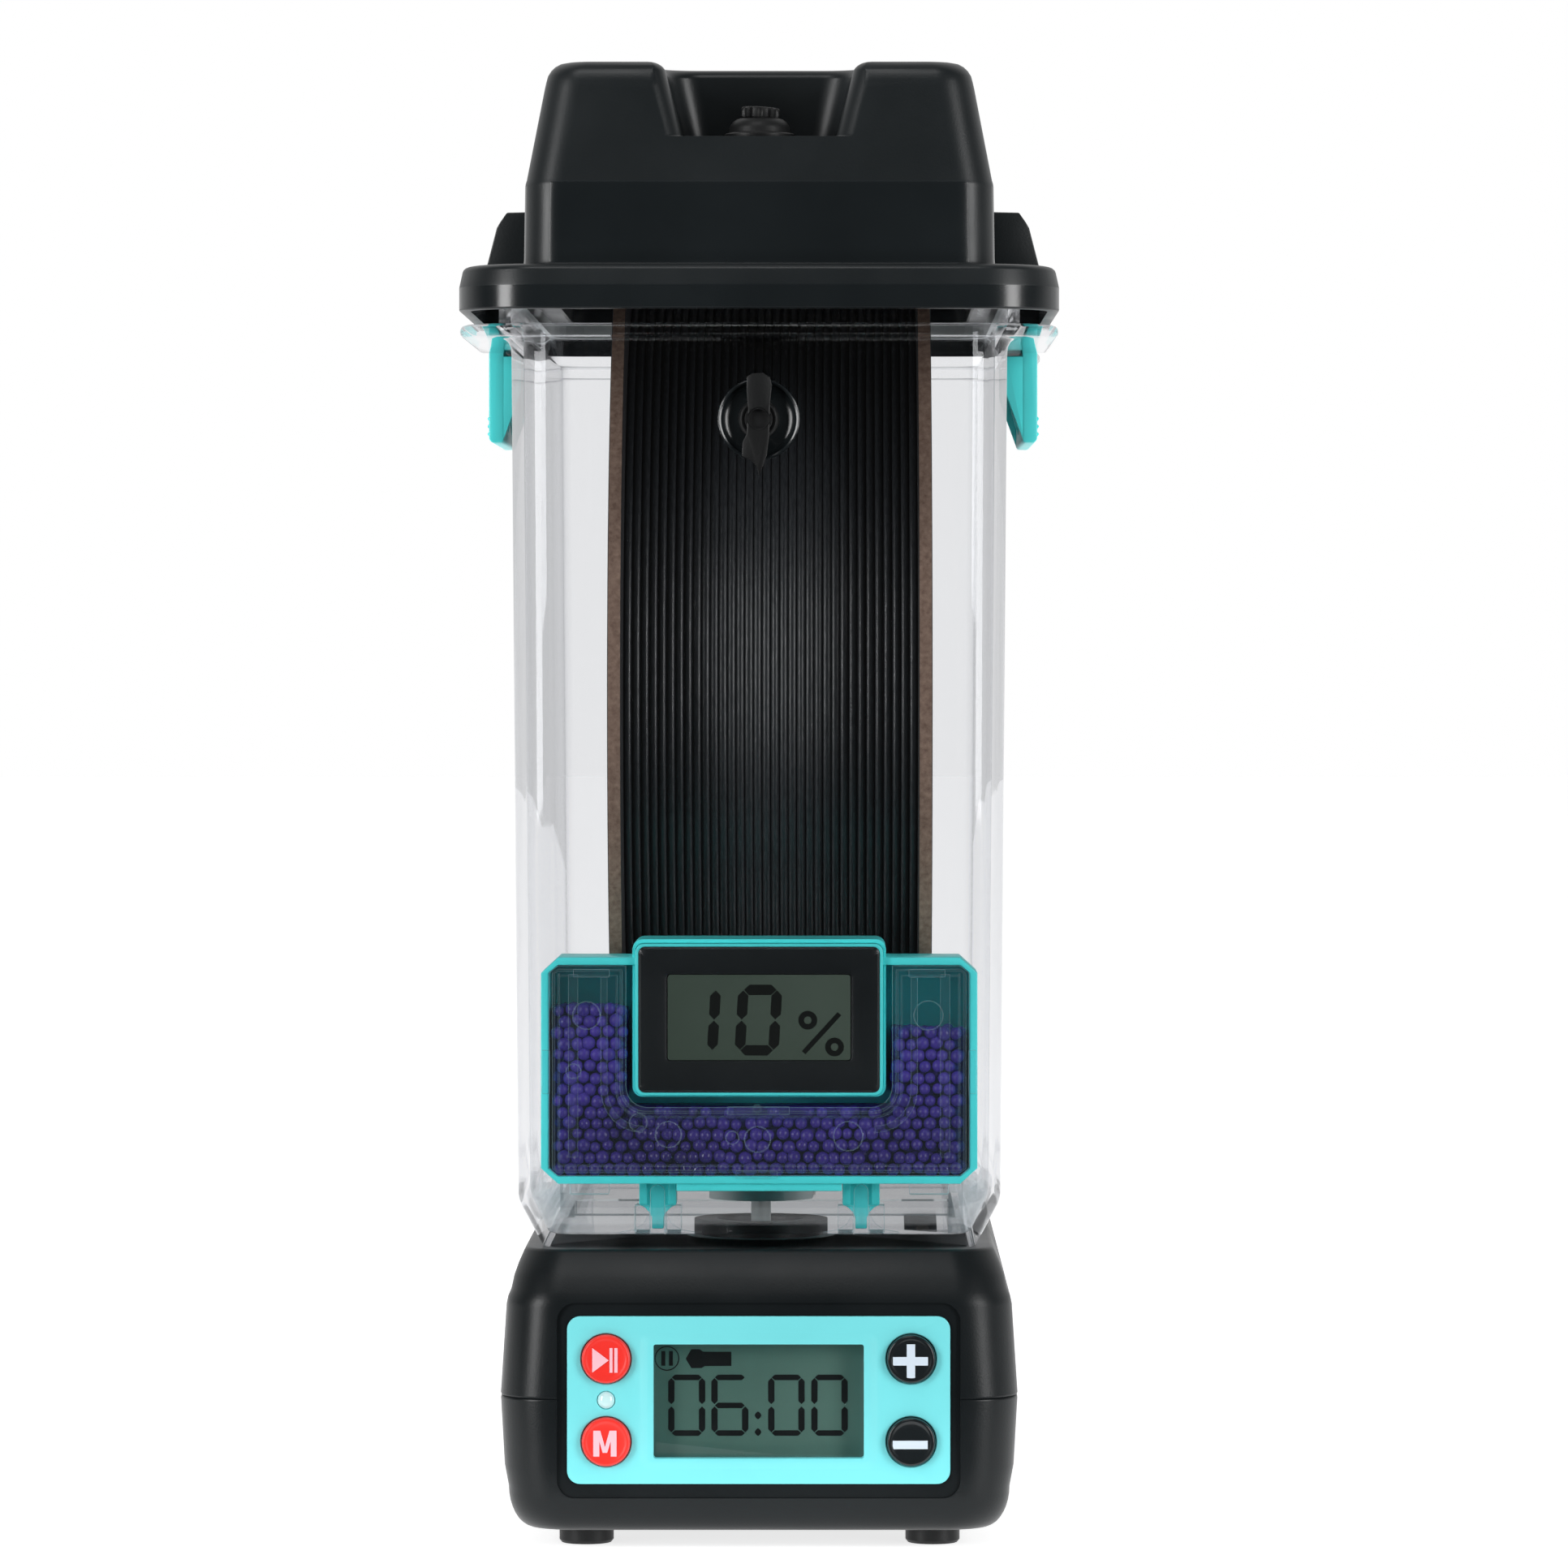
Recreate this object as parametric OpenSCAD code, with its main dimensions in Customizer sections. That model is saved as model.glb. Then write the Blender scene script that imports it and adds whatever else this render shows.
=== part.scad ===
// Filament dryer box: a heated dock, a clear tub that lifts off it, and a latched lid.
// X is across the box, the front faces -Y, Z is up, and the feet stand on z = 0.

/* [Spool] */
// Outer diameter of the spool
spool_d = 200; // [196:1:200]
// Outer width of the spool
spool_w = 65; // [60:1:66]
// Thickness of one cardboard flange
flange_t = 2.75; // [2:0.25:4]
// Radius of the wound filament
winding_r = 84; // [60:0.5:94]

/* [Tub] */
// Half width of the tub at its rim
tub_hw = 49.2; // [49:0.1:49.5]
// Half length of the tub at its rim
tub_hl = 114; // [113.6:0.1:114.4]
// Wall thickness of the tub
tub_t = 2.4; // [2:0.1:2.6]
// Height of the rim's underside
rim_z = 239.1; // [238.9:0.1:239.1]

/* [Lid] */
// Half width of the lid's flange
lid_hw = 59.4; // [59.2:0.1:59.6]
// Half length of the lid's flange
lid_hl = 124; // [123.6:0.1:124.4]
// Top of the lid
lid_top = 294.2; // [293.5:0.1:296]
// Wall thickness of the lid
lid_t = 2.2; // [1.8:0.1:2.4]
// Bore of the two rubber filament ports
port_bore = 3.8; // [3.4:0.1:3.9]

/* [Latch] */
// Half width of a latch
latch_hy = 29.5; // [24:0.5:29.5]
// Diameter of a latch pin
pin_d = 2.5; // [2:0.1:3]

/* [Dock] */
// Half width of the dock at its parting line
dock_hw = 51.2; // [51:0.1:51.6]
// Half length of the dock at its parting line
dock_hl = 118; // [117.8:0.1:118.4]
// Height of the dock's top face
dock_top = 59; // [59:0.1:59]
// Diameter of a control button
button_d = 9.6; // [8:0.1:9.8]
// Travel of a control button
button_travel = 1.5; // [1:0.1:1.6]
// Diameter of a rubber foot
foot_d = 10.8; // [9:0.1:12]

/* [Rollers] */
// Radius of a spool roller
roller_r = 7; // [6:0.5:7.5]
// Distance of a roller axis from the spool's centre along the box
roller_dy = 57; // [52:1:60]
// Diameter of a roller shaft
shaft_d = 4; // [3:0.5:5]

/* [Hidden] */
$fn = 64;
e = 0.01;
panel_z = 29.8;
split_z = 30;
floor_z = 61.5;
tub_z = 59;
spool_x = 2;
spool_y = 4;
spool_z = 67.8 + spool_d / 2;
roller_z = spool_z - sqrt(pow(spool_d / 2 + roller_r + 0.3, 2) - roller_dy * roller_dy);
port_y = [92, -72];
blower_y = -40;
pivot_x = 52.4;
pivot_z = 264.2;
lid_port = [0, -97];
out_z = 222.8;
screw_xy = [42, 92];
foot_xy = [34.4, 100];
leg_x = 20.2;

// corner points of a rounded rectangle of half sizes a, b
function corner(cx, cy, r, a0, n) = [for (i = [0:n]) [cx + r * cos(a0 + i * 90 / n), cy + r * sin(a0 + i * 90 / n)]];
function rrect(a, b, r, n = 6) = concat(corner(a - r, b - r, r, 0, n), corner(r - a, b - r, r, 90, n),
    corner(r - a, r - b, r, 180, n), corner(a - r, r - b, r, 270, n));

// rounded plate of half sizes a, b from z0, h high
module plate(a, b, r, z0, h, n = 6) translate([0, 0, z0]) linear_extrude(h) polygon(rrect(a, b, r, n));
// thin slice used to loft a body
module slice(a, b, r, z0) plate(a, b, r, z0, e);
// box between two corners
module box(p, q) translate(p) cube(q - p);
// cylinder along Y from y0 to y1
module ycyl(d, x, z, y0, y1) translate([x, y0, z]) rotate([-90, 0, 0]) cylinder(d = d, h = y1 - y0);
// cylinder along X from x0 to x1
module xcyl(d, y, z, x0, x1) translate([x0, y, z]) rotate([0, 90, 0]) cylinder(d = d, h = x1 - x0);
// cylinder along Z from z0 to z1
module zcyl(d, x, y, z0, z1) translate([x, y, z0]) cylinder(d = d, h = z1 - z0);
// plate standing across Y: half sizes a, b about (x, z)
module yplate(a, b, r, x, z, y0, y1) translate([x, y1, z]) rotate([90, 0, 0]) linear_extrude(y1 - y0) polygon(rrect(a, b, r, 5));
// profile in X and Z, extruded along Y from y0 to y1
module yprofile(pts, y0, y1) translate([0, y1, 0]) rotate([90, 0, 0]) linear_extrude(y1 - y0) polygon(pts);
module four(v) for (sx = [-1, 1], sy = [-1, 1]) translate([sx * v[0], sy * v[1], 0]) children();

// ---- dock ----
module dock_outer_low() hull() {
    slice(dock_hw, dock_hl, 11, split_z - e);
    slice(dock_hw - 0.8, dock_hl - 0.3, 11, 16);
    slice(dock_hw - 1.8, dock_hl - 0.7, 10.5, 11);
    slice(dock_hw - 2.8, dock_hl - 2.2, 10, 7);
    slice(dock_hw - 4, dock_hl - 3.5, 9, 5.4);
    slice(dock_hw - 6.7, dock_hl - 6.5, 8, 3.6);
}
module dock_outer_top() hull() {
    slice(dock_hw, dock_hl, 11, split_z);
    slice(dock_hw - 1.2, dock_hl - 0.4, 11, 48.6);
    slice(dock_hw - 2, dock_hl - 1.5, 10.5, 51);
    slice(dock_hw - 3.5, dock_hl - 4.3, 10, 56);
    slice(dock_hw - 4.7, dock_hl - 7, 9, dock_top - e);
}
module panel_cut() {
    yplate(39.7, 19.2, 3.6, 0, panel_z - 0.1, -130, -116.9);
    yplate(37.8, 16.6, 2.7, 0, panel_z, -130, -110);
    box([-39.6, -115.8, 11.2], [39.6, -108, 48.2]);
}
module dock_lower_shell() color([0.13, 0.14, 0.15]) difference() {
    union() {
        difference() {
            dock_outer_low();
            plate(dock_hw - 3.6, dock_hl - 3.2, 8, 6, 40);
            plate(dock_hw - 2.4, dock_hl - 2.2, 9, 16, 40);
        }
        four(screw_xy) translate([0, 0, 5]) cylinder(d = 9, h = split_z - 5);
        for (y = [42, 76]) box([-45, y, 5], [-17, y + 3, 10]);
        for (x = [-30, 27]) box([x, blower_y - 33, 5], [x + 3, blower_y + 33, 8]);
        for (y = [0, 60]) box([-13, y, 5], [29, y + 3, 10]);
    }
    panel_cut();
    four(screw_xy) { translate([0, 0, 3]) cylinder(d = 6.4, h = 9); translate([0, 0, 3]) cylinder(d = 3.4, h = 40); }
    four(foot_xy) translate([0, 0, 3]) cylinder(d = foot_d, h = 1.6);
    yplate(7.2, 5.7, 1, -32, 20, 100, 130);
    for (i = [0:5]) box([4 + i * 5, 100, 14], [6.4 + i * 5, 130, 26]);
}
module dock_upper_shell() color([0.13, 0.14, 0.15]) difference() {
    union() {
        difference() {
            dock_outer_top();
            hull() {
                slice(dock_hw - 2.4, dock_hl - 2.2, 9, split_z - 1);
                slice(dock_hw - 3.6, dock_hl - 2.8, 9, 50);
                slice(dock_hw - 6.7, dock_hl - 8, 8, dock_top - 2.4 - e);
            }
        }
        four(screw_xy) translate([0, 0, split_z]) cylinder(d = 9, h = 27);
    }
    panel_cut();
    four(screw_xy) translate([0, 0, split_z - 1]) cylinder(d = 3, h = 12);
    for (y = port_y) translate([0, y, 0]) {
        difference() {
            translate([0, 0, 50]) cylinder(d = 22, h = 12);
            translate([0, 0, 50]) cylinder(d = 7, h = 12);
            for (a = [0, 60, 120]) rotate(a) box([-12, -1, 40], [12, 1, 59]);
        }
        difference() { translate([0, 0, 57.4]) cylinder(d = 30, h = 3); translate([0, 0, 57]) cylinder(d = 24, h = 4); }
    }
}
module gasket_ring(y) color([0.75, 0.75, 0.72]) difference() {
    translate([0, y, 57.4]) cylinder(d = 30, h = dock_top - 57.4);
    translate([0, y, 57]) cylinder(d = 24, h = 4);
}
module inlet_air_gasket() gasket_ring(port_y[0]);
module outlet_air_gasket() gasket_ring(port_y[1]);
module control_bezel() color([0.42, 0.93, 0.92]) difference() {
    union() {
        yplate(37.7, 16.5, 2.6, 0, panel_z, -117.4, -115);
        yplate(39.2, 18, 2.6, 0, panel_z, -115.8, -114.6);
        yplate(22.6, 12.6, 1.6, 0, panel_z - 0.2, -118, -116);
        for (sx = [-1, 1], sz = [-1, 1]) ycyl(3, sx * 26, panel_z + sz * 14.2, -115, -102.4);
    }
    yplate(20.7, 11.2, 0.8, 0, panel_z - 0.2, -120, -110);
    for (sx = [-1, 1], sz = [-1, 1]) ycyl(button_d + 0.2, sx * 30, panel_z + sz * 8.15, -120, -110);
    ycyl(3.6, -30, panel_z, -120, -110);
}
module lcd_window() color([0.6, 0.7, 0.7, 0.4]) union() {
    yplate(20.6, 11.1, 0.7, 0, panel_z - 0.2, -117.5, -114.6);
    yplate(22.4, 12.6, 0.7, 0, panel_z - 0.2, -114.6, -114);
}
module lcd_module() color([0.4, 0.5, 0.47]) union() {
    box([-23, -114, panel_z - 13.2], [23, -107.4, panel_z + 12.8]);
    for (s = [-1, 1]) box([-20, -107.4, panel_z + s * 11 - 0.6], [20, -102.4, panel_z + s * 11 + 0.6]);
}
module control_board() color([0.05, 0.3, 0.15]) union() {
    box([-36.5, -102.4, panel_z - 16.4], [36.5, -100.8, panel_z + 16.4]);
    box([-9, -100.8, panel_z - 6], [5, -98.6, panel_z + 6]);
    box([12, -100.8, panel_z - 14], [30, -93, panel_z - 7]);
}
module tact_switches() color([0.1, 0.1, 0.1]) for (sx = [-1, 1], sz = [-1, 1]) union() {
    box([sx * 30 - 3, -105.9, panel_z + sz * 8.15 - 3], [sx * 30 + 3, -102.4, panel_z + sz * 8.15 + 3]);
    ycyl(3.4, sx * 30, panel_z + sz * 8.15, -106.4, -105);
}
module status_light_pipe() color([0.85, 0.95, 0.95]) union() {
    ycyl(3.6, -30, panel_z, -117.7, -114.6);
    ycyl(4.6, -30, panel_z, -114.6, -102.4);
}
module button(sx, sz, c) color(c) union() {
    ycyl(button_d, sx * 30, panel_z + sz * 8.15, -118.8, -114);
    ycyl(button_d + 1, sx * 30, panel_z + sz * 8.15, -114.4, -113.4);
    ycyl(4, sx * 30, panel_z + sz * 8.15, -114, -106.5 - button_travel);
}
module play_pause_button() button(-1, 1, [0.98, 0.22, 0.2]);
module mode_button() button(-1, -1, [0.98, 0.22, 0.2]);
module plus_button() button(1, 1, [0.08, 0.09, 0.1]);
module minus_button() button(1, -1, [0.08, 0.09, 0.1]);
module foot(sx, sy) color([0.06, 0.06, 0.06]) union() {
    translate([sx * foot_xy[0], sy * foot_xy[1], 0]) cylinder(d1 = foot_d - 1, d2 = foot_d, h = 0.6);
    translate([sx * foot_xy[0], sy * foot_xy[1], 0.6]) cylinder(d = foot_d, h = 4);
}
module foot_front_left() foot(-1, -1);
module foot_front_right() foot(1, -1);
module foot_rear_left() foot(-1, 1);
module foot_rear_right() foot(1, 1);
module case_screw(sx, sy) color([0.6, 0.6, 0.62]) translate([sx * screw_xy[0], sy * screw_xy[1], 0]) difference() {
    union() {
        translate([0, 0, 9.4]) cylinder(d = 5.8, h = 2.6);
        translate([0, 0, 11]) cylinder(d = 3, h = 28);
    }
    for (a = [0, 90]) rotate(a) box([-1.6, -0.4, 9], [1.6, 0.4, 10.6]);
}
module case_screw_front_left() case_screw(-1, -1);
module case_screw_front_right() case_screw(1, -1);
module case_screw_rear_left() case_screw(-1, 1);
module case_screw_rear_right() case_screw(1, 1);
module blower_housing() color([0.16, 0.16, 0.17]) difference() {
    box([-35, blower_y - 35, 8], [35, blower_y + 35, 38]);
    translate([0, blower_y, 10]) cylinder(d = 64, h = 26);
    translate([0, blower_y, 30]) cylinder(d = 34, h = 10);
    box([2, blower_y, 12], [30, blower_y + 40, 34]);
}
module blower_motor() color([0.5, 0.5, 0.52]) translate([0, blower_y, 0]) union() {
    translate([0, 0, 10]) cylinder(d = 26, h = 8);
    translate([0, 0, 17]) cylinder(d = 3, h = 13);
}
module blower_impeller() color([0.1, 0.1, 0.1]) translate([0, blower_y, 0]) difference() {
    union() {
        translate([0, 0, 19]) cylinder(d = 58, h = 1.6);
        translate([0, 0, 19]) cylinder(d = 12, h = 9);
        for (i = [0:19]) rotate(i * 18) box([21, -0.7, 20], [28.6, 0.7, 33]);
    }
    cylinder(d = 3.1, h = 60);
}
module heater_element() color([0.75, 0.74, 0.7]) difference() {
    box([-14, -5, 10], [30, 20, 38]);
    for (i = [0:8]) box([-11.5 + i * 4.5, -6, 13], [-8.5 + i * 4.5, 21, 35]);
}
module air_duct() color([0.2, 0.2, 0.2]) difference() {
    box([-14, 20, 10], [30, 106, 56.6]);
    box([-12, 19, 12], [28, 104, 54.6]);
    translate([0, port_y[0], 50]) cylinder(d = 22, h = 10);
}
module return_duct() color([0.2, 0.2, 0.2]) difference() {
    box([-20, -92, 38], [20, -20, 56.6]);
    box([-18, -90, 40], [18, -22, 54.6]);
    translate([0, port_y[1], 50]) cylinder(d = 22, h = 10);
    translate([0, blower_y, 36]) cylinder(d = 34, h = 8);
}
module power_board() color([0.05, 0.25, 0.2]) union() {
    box([-45, 38, 10], [-17, 84, 11.6]);
    box([-43, 42, 11.6], [-23, 60, 26]);
    translate([-36, 69, 11.6]) cylinder(d = 12, h = 16);
    box([-26, 64, 11.6], [-20, 80, 26]);
}
module power_inlet() color([0.07, 0.07, 0.07]) union() {
    difference() {
        union() {
            yplate(7, 5.5, 0.9, -32, 20, 104, 118.2);
            yplate(8.4, 6.9, 1.2, -32, 20, 112.4, 114.8);
        }
        ycyl(6.3, -32, 20, 108, 120);
    }
    ycyl(2.1, -32, 20, 107, 117.2);
    box([-34, 80, 11.6], [-30, 105, 18]);
}

// ---- tub ----
module tub_walls() difference() {
    union() {
        hull() {
            slice(tub_hw - 6, tub_hl - 5.5, 6, tub_z);
            slice(tub_hw - 1.4, tub_hl - 1.4, 8.5, tub_z + 9.5);
            slice(tub_hw, tub_hl, 9.4, rim_z);
        }
        difference() {
            plate(lid_hw - 0.2, lid_hl - 0.2, 16.3, rim_z, 2.4);
            for (s = [-1, 1]) translate([s * 60, 0, 0]) box([-6.5, -30.5, rim_z - 1], [6.5, 30.5, rim_z + 4]);
        }
        plate(tub_hw + 2.5, tub_hl + 2.5, 12, rim_z + 2, 6.9);
    }
    hull() {
        slice(tub_hw - 7.4, tub_hl - 6.9, 4.6, floor_z);
        slice(tub_hw - 1.4 - tub_t, tub_hl - 1.4 - tub_t, 6.1, 69.5);
        slice(tub_hw - tub_t, tub_hl - tub_t, 7, rim_z + 3);
    }
    plate(tub_hw + 0.1, tub_hl + 0.1, 9.6, rim_z + 2.4, 20);
    for (y = port_y) zcyl(24, 0, y, 50, 70);
    ycyl(10, 0, out_z, -120, -108);
    ycyl(16.5, 0, out_z, -120, -tub_hl + 0.4);
}
module tub_posts() for (s = [-1, 1]) translate([s * leg_x, 0, 0]) difference() {
    box([-4.6, -103, floor_z - 0.5], [4.6, -93, 67.1]);
    box([-1.45, -104, floor_z], [1.45, -92, 70]);
}
module tub_shell() color([0.9, 0.95, 0.97, 0.25]) union() { tub_walls(); tub_posts(); }
module outlet_grommet() color([0.1, 0.1, 0.11]) difference() {
    union() {
        ycyl(10, 0, out_z, -113.7, -111.2);
        ycyl(16.3, 0, out_z, -tub_hl - 2.2, -tub_hl + 0.4);
        ycyl(13, 0, out_z, -111.2, -110);
    }
    ycyl(13.6, 0, out_z, -120, -tub_hl - 1);
    ycyl(port_bore, 0, out_z, -120, -100);
}
module front_plug() color([0.1, 0.1, 0.11]) union() {
    ycyl(8, 0, out_z, -tub_hl - 3.4, -tub_hl - 1);
    ycyl(port_bore - 0.1, 0, out_z, -tub_hl - 1, -109.5);
    yprofile([[-2.6, out_z + 8], [2.6, out_z + 8], [2.6, out_z - 8], [0, out_z - 11.4], [-2.6, out_z - 8]], -tub_hl - 4.4, -tub_hl - 3.4);
}
module roller_cradle() color([0.9, 0.95, 0.97, 0.3]) difference() {
    union() {
        for (sx = [-1, 1], sy = [-1, 1]) box([sx * 39.6 - 1.5, spool_y + sy * roller_dy - 8, floor_z], [sx * 39.6 + 1.5, spool_y + sy * roller_dy + 8, roller_z + 5]);
        for (sx = [-1, 1]) box([sx * 39.6 - 1.5, spool_y - roller_dy, floor_z], [sx * 39.6 + 1.5, spool_y + roller_dy, floor_z + 4]);
        for (sy = [-1, 1]) box([-39, spool_y + sy * roller_dy - 3, floor_z], [39, spool_y + sy * roller_dy + 3, floor_z + 3]);
    }
    for (sy = [-1, 1]) xcyl(shaft_d, spool_y + sy * roller_dy, roller_z, -50, 50);
}
module roller_shaft(sy) color([0.75, 0.76, 0.78]) xcyl(shaft_d, spool_y + sy * roller_dy, roller_z, -41.6, 41.6);
module front_roller_shaft() roller_shaft(-1);
module rear_roller_shaft() roller_shaft(1);
module rollers(sy) color([0.15, 0.15, 0.16]) difference() {
    union() {
        for (s = [-1, 1]) xcyl(roller_r * 2, spool_y + sy * roller_dy, roller_z, spool_x + s * 31.1 - 3.5, spool_x + s * 31.1 + 3.5);
        xcyl(shaft_d + 3, spool_y + sy * roller_dy, roller_z, spool_x - 30, spool_x + 30);
    }
    xcyl(shaft_d + 0.16, spool_y + sy * roller_dy, roller_z, -50, 50);
}
module front_rollers() rollers(-1);
module rear_rollers() rollers(1);
module valve_seat(y) color([0.2, 0.2, 0.2]) translate([0, y, 0]) difference() {
    union() {
        translate([0, 0, tub_z]) cylinder(d = 24, h = floor_z - tub_z + 0.2);
        translate([0, 0, floor_z]) cylinder(d = 27, h = 0.8);
    }
    difference() {
        translate([0, 0, 50]) cylinder(d = 18, h = 20);
        translate([0, 0, 50]) cylinder(d = 8, h = 20);
        for (a = [0, 60, 120]) rotate(a) box([-10, -1, 50], [10, 1, 61]);
    }
    translate([0, 0, 50]) cylinder(d = 4.1, h = 20);
    translate([0, 0, 61]) cylinder(d = 9, h = 5);
}
module inlet_valve_seat() valve_seat(port_y[0]);
module outlet_valve_seat() valve_seat(port_y[1]);
module valve(y) color([0.8, 0.8, 0.78]) translate([0, y, 0]) union() {
    translate([0, 0, tub_z]) cylinder(d = 4, h = 8);
    translate([0, 0, 66.4]) cylinder(d = 21, h = 2);
}
module inlet_valve() valve(port_y[0]);
module outlet_valve() valve(port_y[1]);

// ---- spool ----
module spool_flange(s) color([0.12, 0.12, 0.12]) difference() {
    xcyl(spool_d, spool_y, spool_z, spool_x + s * (spool_w - flange_t) / 2 - flange_t / 2, spool_x + s * (spool_w - flange_t) / 2 + flange_t / 2);
    xcyl(53, spool_y, spool_z, -60, 60);
}
module spool_flange_left() spool_flange(-1);
module spool_flange_right() spool_flange(1);
module spool_core() color([0.35, 0.27, 0.22]) difference() {
    xcyl(76, spool_y, spool_z, spool_x - spool_w / 2 + flange_t, spool_x + spool_w / 2 - flange_t);
    xcyl(70, spool_y, spool_z, -60, 60);
}
module filament_winding() color([0.09, 0.1, 0.11]) difference() {
    xcyl(winding_r * 2, spool_y, spool_z, spool_x - spool_w / 2 + flange_t, spool_x + spool_w / 2 - flange_t);
    xcyl(76, spool_y, spool_z, -60, 60);
}

// ---- desiccant cassette ----
cas = [-43.2, 43.2, 71.7, 116.3];
function cas_out(d) = [[cas[0] + 3.5, cas[2] + d], [cas[1] - 3.5, cas[2] + d], [cas[1] - d, cas[2] + 3], [cas[1] - d, cas[3] - 3],
    [cas[1] - 3.5, cas[3] - d], [cas[0] + 3.5, cas[3] - d], [cas[0] + d, cas[3] - 3], [cas[0] + d, cas[2] + 3]];
module cassette_tray() color([0.3, 0.87, 0.84]) difference() {
    union() {
        yprofile(cas_out(0), -107, -87);
        for (s = [-1, 1]) translate([s * leg_x, 0, 0]) {
            box([-3.7, -103, 67.3], [3.7, -93, 72]);
            box([-1.15, -102, 62.3], [1.15, -94, 68]);
        }
    }
    yprofile(cas_out(1.8), -110, -88.6);
    box([-24.6, -110, 89], [24.6, -96.6, 120]);
}
module cassette_cover() color([0.9, 0.95, 0.97, 0.3]) union() {
    difference() {
        yprofile(cas_out(0.6), -108.6, -107);
        box([-25.8, -110, 87.1], [25.8, -100, 120]);
    }
    for (s = [-1, 1]) translate([s * 33.2, 0, 0]) {
        box([-3.6, -108.6, 112], [3.6, -107, 117.6]);
        box([-3.6, -108.6, 116.4], [3.6, -105, 117.6]);
    }
}
module desiccant_beads() color([0.25, 0.17, 0.45]) difference() {
    yprofile([[cas[0] + 3.6, cas[2] + 1.8], [cas[1] - 3.6, cas[2] + 1.8], [cas[1] - 1.8, cas[2] + 3.4], [cas[1] - 1.8, 103.9],
        [cas[0] + 1.8, 108.7], [cas[0] + 1.8, cas[2] + 3.4]], -107, -88.6);
    box([-24.6, -110, 89], [24.6, -96.6, 130]);
}
module hygrometer_frame() color([0.3, 0.87, 0.84]) difference() {
    yplate(24.5, 15.1, 1.6, 0, 104.3, -109.2, -96.6);
    yplate(23, 13.6, 0.8, 0, 104.3, -112, -98.2);
}
module hygrometer_bezel() color([0.06, 0.06, 0.07]) difference() {
    union() {
        yplate(23.9, 14.5, 1.4, 0, 104.3, -109.8, -109.2);
        yplate(22.9, 13.5, 0.8, 0, 104.3, -109.2, -98.2);
    }
    yplate(18.1, 8.5, 0.5, 0, 104.7, -112, -107.6);
}
module hygrometer_lcd() color([0.24, 0.29, 0.25]) yplate(18.1, 8.5, 0.5, 0, 104.7, -109.5, -107.6);

// ---- lid ----
module lid_outer() union() {
    plate(lid_hw, lid_hl, 16.5, 244.3, 4.8);
    hull() {
        slice(lid_hw, lid_hl, 16.5, 249.1 - e);
        slice(lid_hw - 0.7, lid_hl - 0.7, 15.8, 252.1);
        slice(lid_hw - 1.4, lid_hl - 1.4, 15.1, 252.75);
        slice(lid_hw - 2.5, lid_hl - 2.5, 14, 253.2 - e);
    }
    hull() {
        slice(46.7, 111.4, 8, 253);
        slice(46.5, 111.2, 8, 270);
        slice(42.3, 107, 7, lid_top - 2.6);
        slice(41.2, 105.9, 7, lid_top - 0.9);
        slice(38.6, 103.3, 6, lid_top - e);
    }
    for (sx = [-1, 1], y = [-33.6, 30]) yprofile([[sx * 44, 252], [sx * 58.6, 252], [sx * 55.3, 265], [sx * 54.6, 266.2],
        [sx * 53.2, 268.2], [sx * 44, 268.4]], y, y + 3.6);
}
// outline of the port recess: half width xs, rear wall at yr, rear corner radius r, grown by g
function recess(xs, yr, r, g) = concat([[-xs - g, -118]],
    [for (i = [0:5]) [-xs + r - (r + g) * cos(i * 18), yr - r + (r + g) * sin(i * 18)]],
    [for (i = [5:-1:0]) [xs - r + (r + g) * cos(i * 18), yr - r + (r + g) * sin(i * 18)]], [[xs + g, -118]]);
// outline of the flared mouth: half width xs at the back, xo at the front face yf
function mouth(xs, xo, yf, g) = [[-xs - g, yf + 4.7], [-xo - g, yf], [-xo - g, -118], [xo + g, -118], [xo + g, yf], [xs + g, yf + 4.7]];
module leaf(pts, z) translate([0, 0, z]) linear_extrude(e) polygon(pts);
module recess_cut(g, z0) {
    hull() { leaf(recess(15.2, -82.2, 5.3, g), z0); leaf(recess(19.9, -81.5, 6.6, g), 296.2); }
    hull() { leaf(mouth(15.2, 19.9, -109.4, g), z0); leaf(mouth(19.9, 23.8, -106, g), 296.2); }
}
module lid_shell() color([0.11, 0.12, 0.13]) difference() {
    lid_outer();
    difference() {
        union() {
            plate(lid_hw - lid_t, lid_hl - lid_t, 14.3, 240, 11);
            hull() {
                slice(46.7 - lid_t, 111.4 - lid_t, 6, 250);
                slice(46.5 - lid_t, 111.2 - lid_t, 6, 269);
                slice(42.1 - lid_t, 106.8 - lid_t, 5, lid_top - 5);
                slice(38, 102.7, 4, lid_top - 2.4);
            }
        }
        for (s = [-1, 1]) box([s * 52.8 - 0.9, -32, 244.3], [s * 52.8 + 0.9, 32, 252]);
        recess_cut(2.2, 276.6);
        for (sx = [-1, 1], sy = [-1, 1]) box([sx * 55.2 - 3.3, sy * 31 - 1, 244.3], [sx * 55.2 + 3.3, sy * 31 + 1, 252]);
    }
    recess_cut(0, 279);
    for (s = [-1, 1]) translate([s * 60, 0, 0]) box([-6.3, -30, 240], [6.3, 30, 256]);
    for (s = [-1, 1]) ycyl(pin_d, s * pivot_x, pivot_z, -32.9, 34);
    zcyl(10, lid_port[0], lid_port[1], 270, 290);
}
module lid_gasket() color([0.8, 0.82, 0.82]) difference() {
    plate(tub_hw + 2.6, tub_hl + 2.6, 12.1, 248, 3);
    plate(tub_hw - 0.4, tub_hl - 0.4, 9.1, 247, 5);
}
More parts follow.
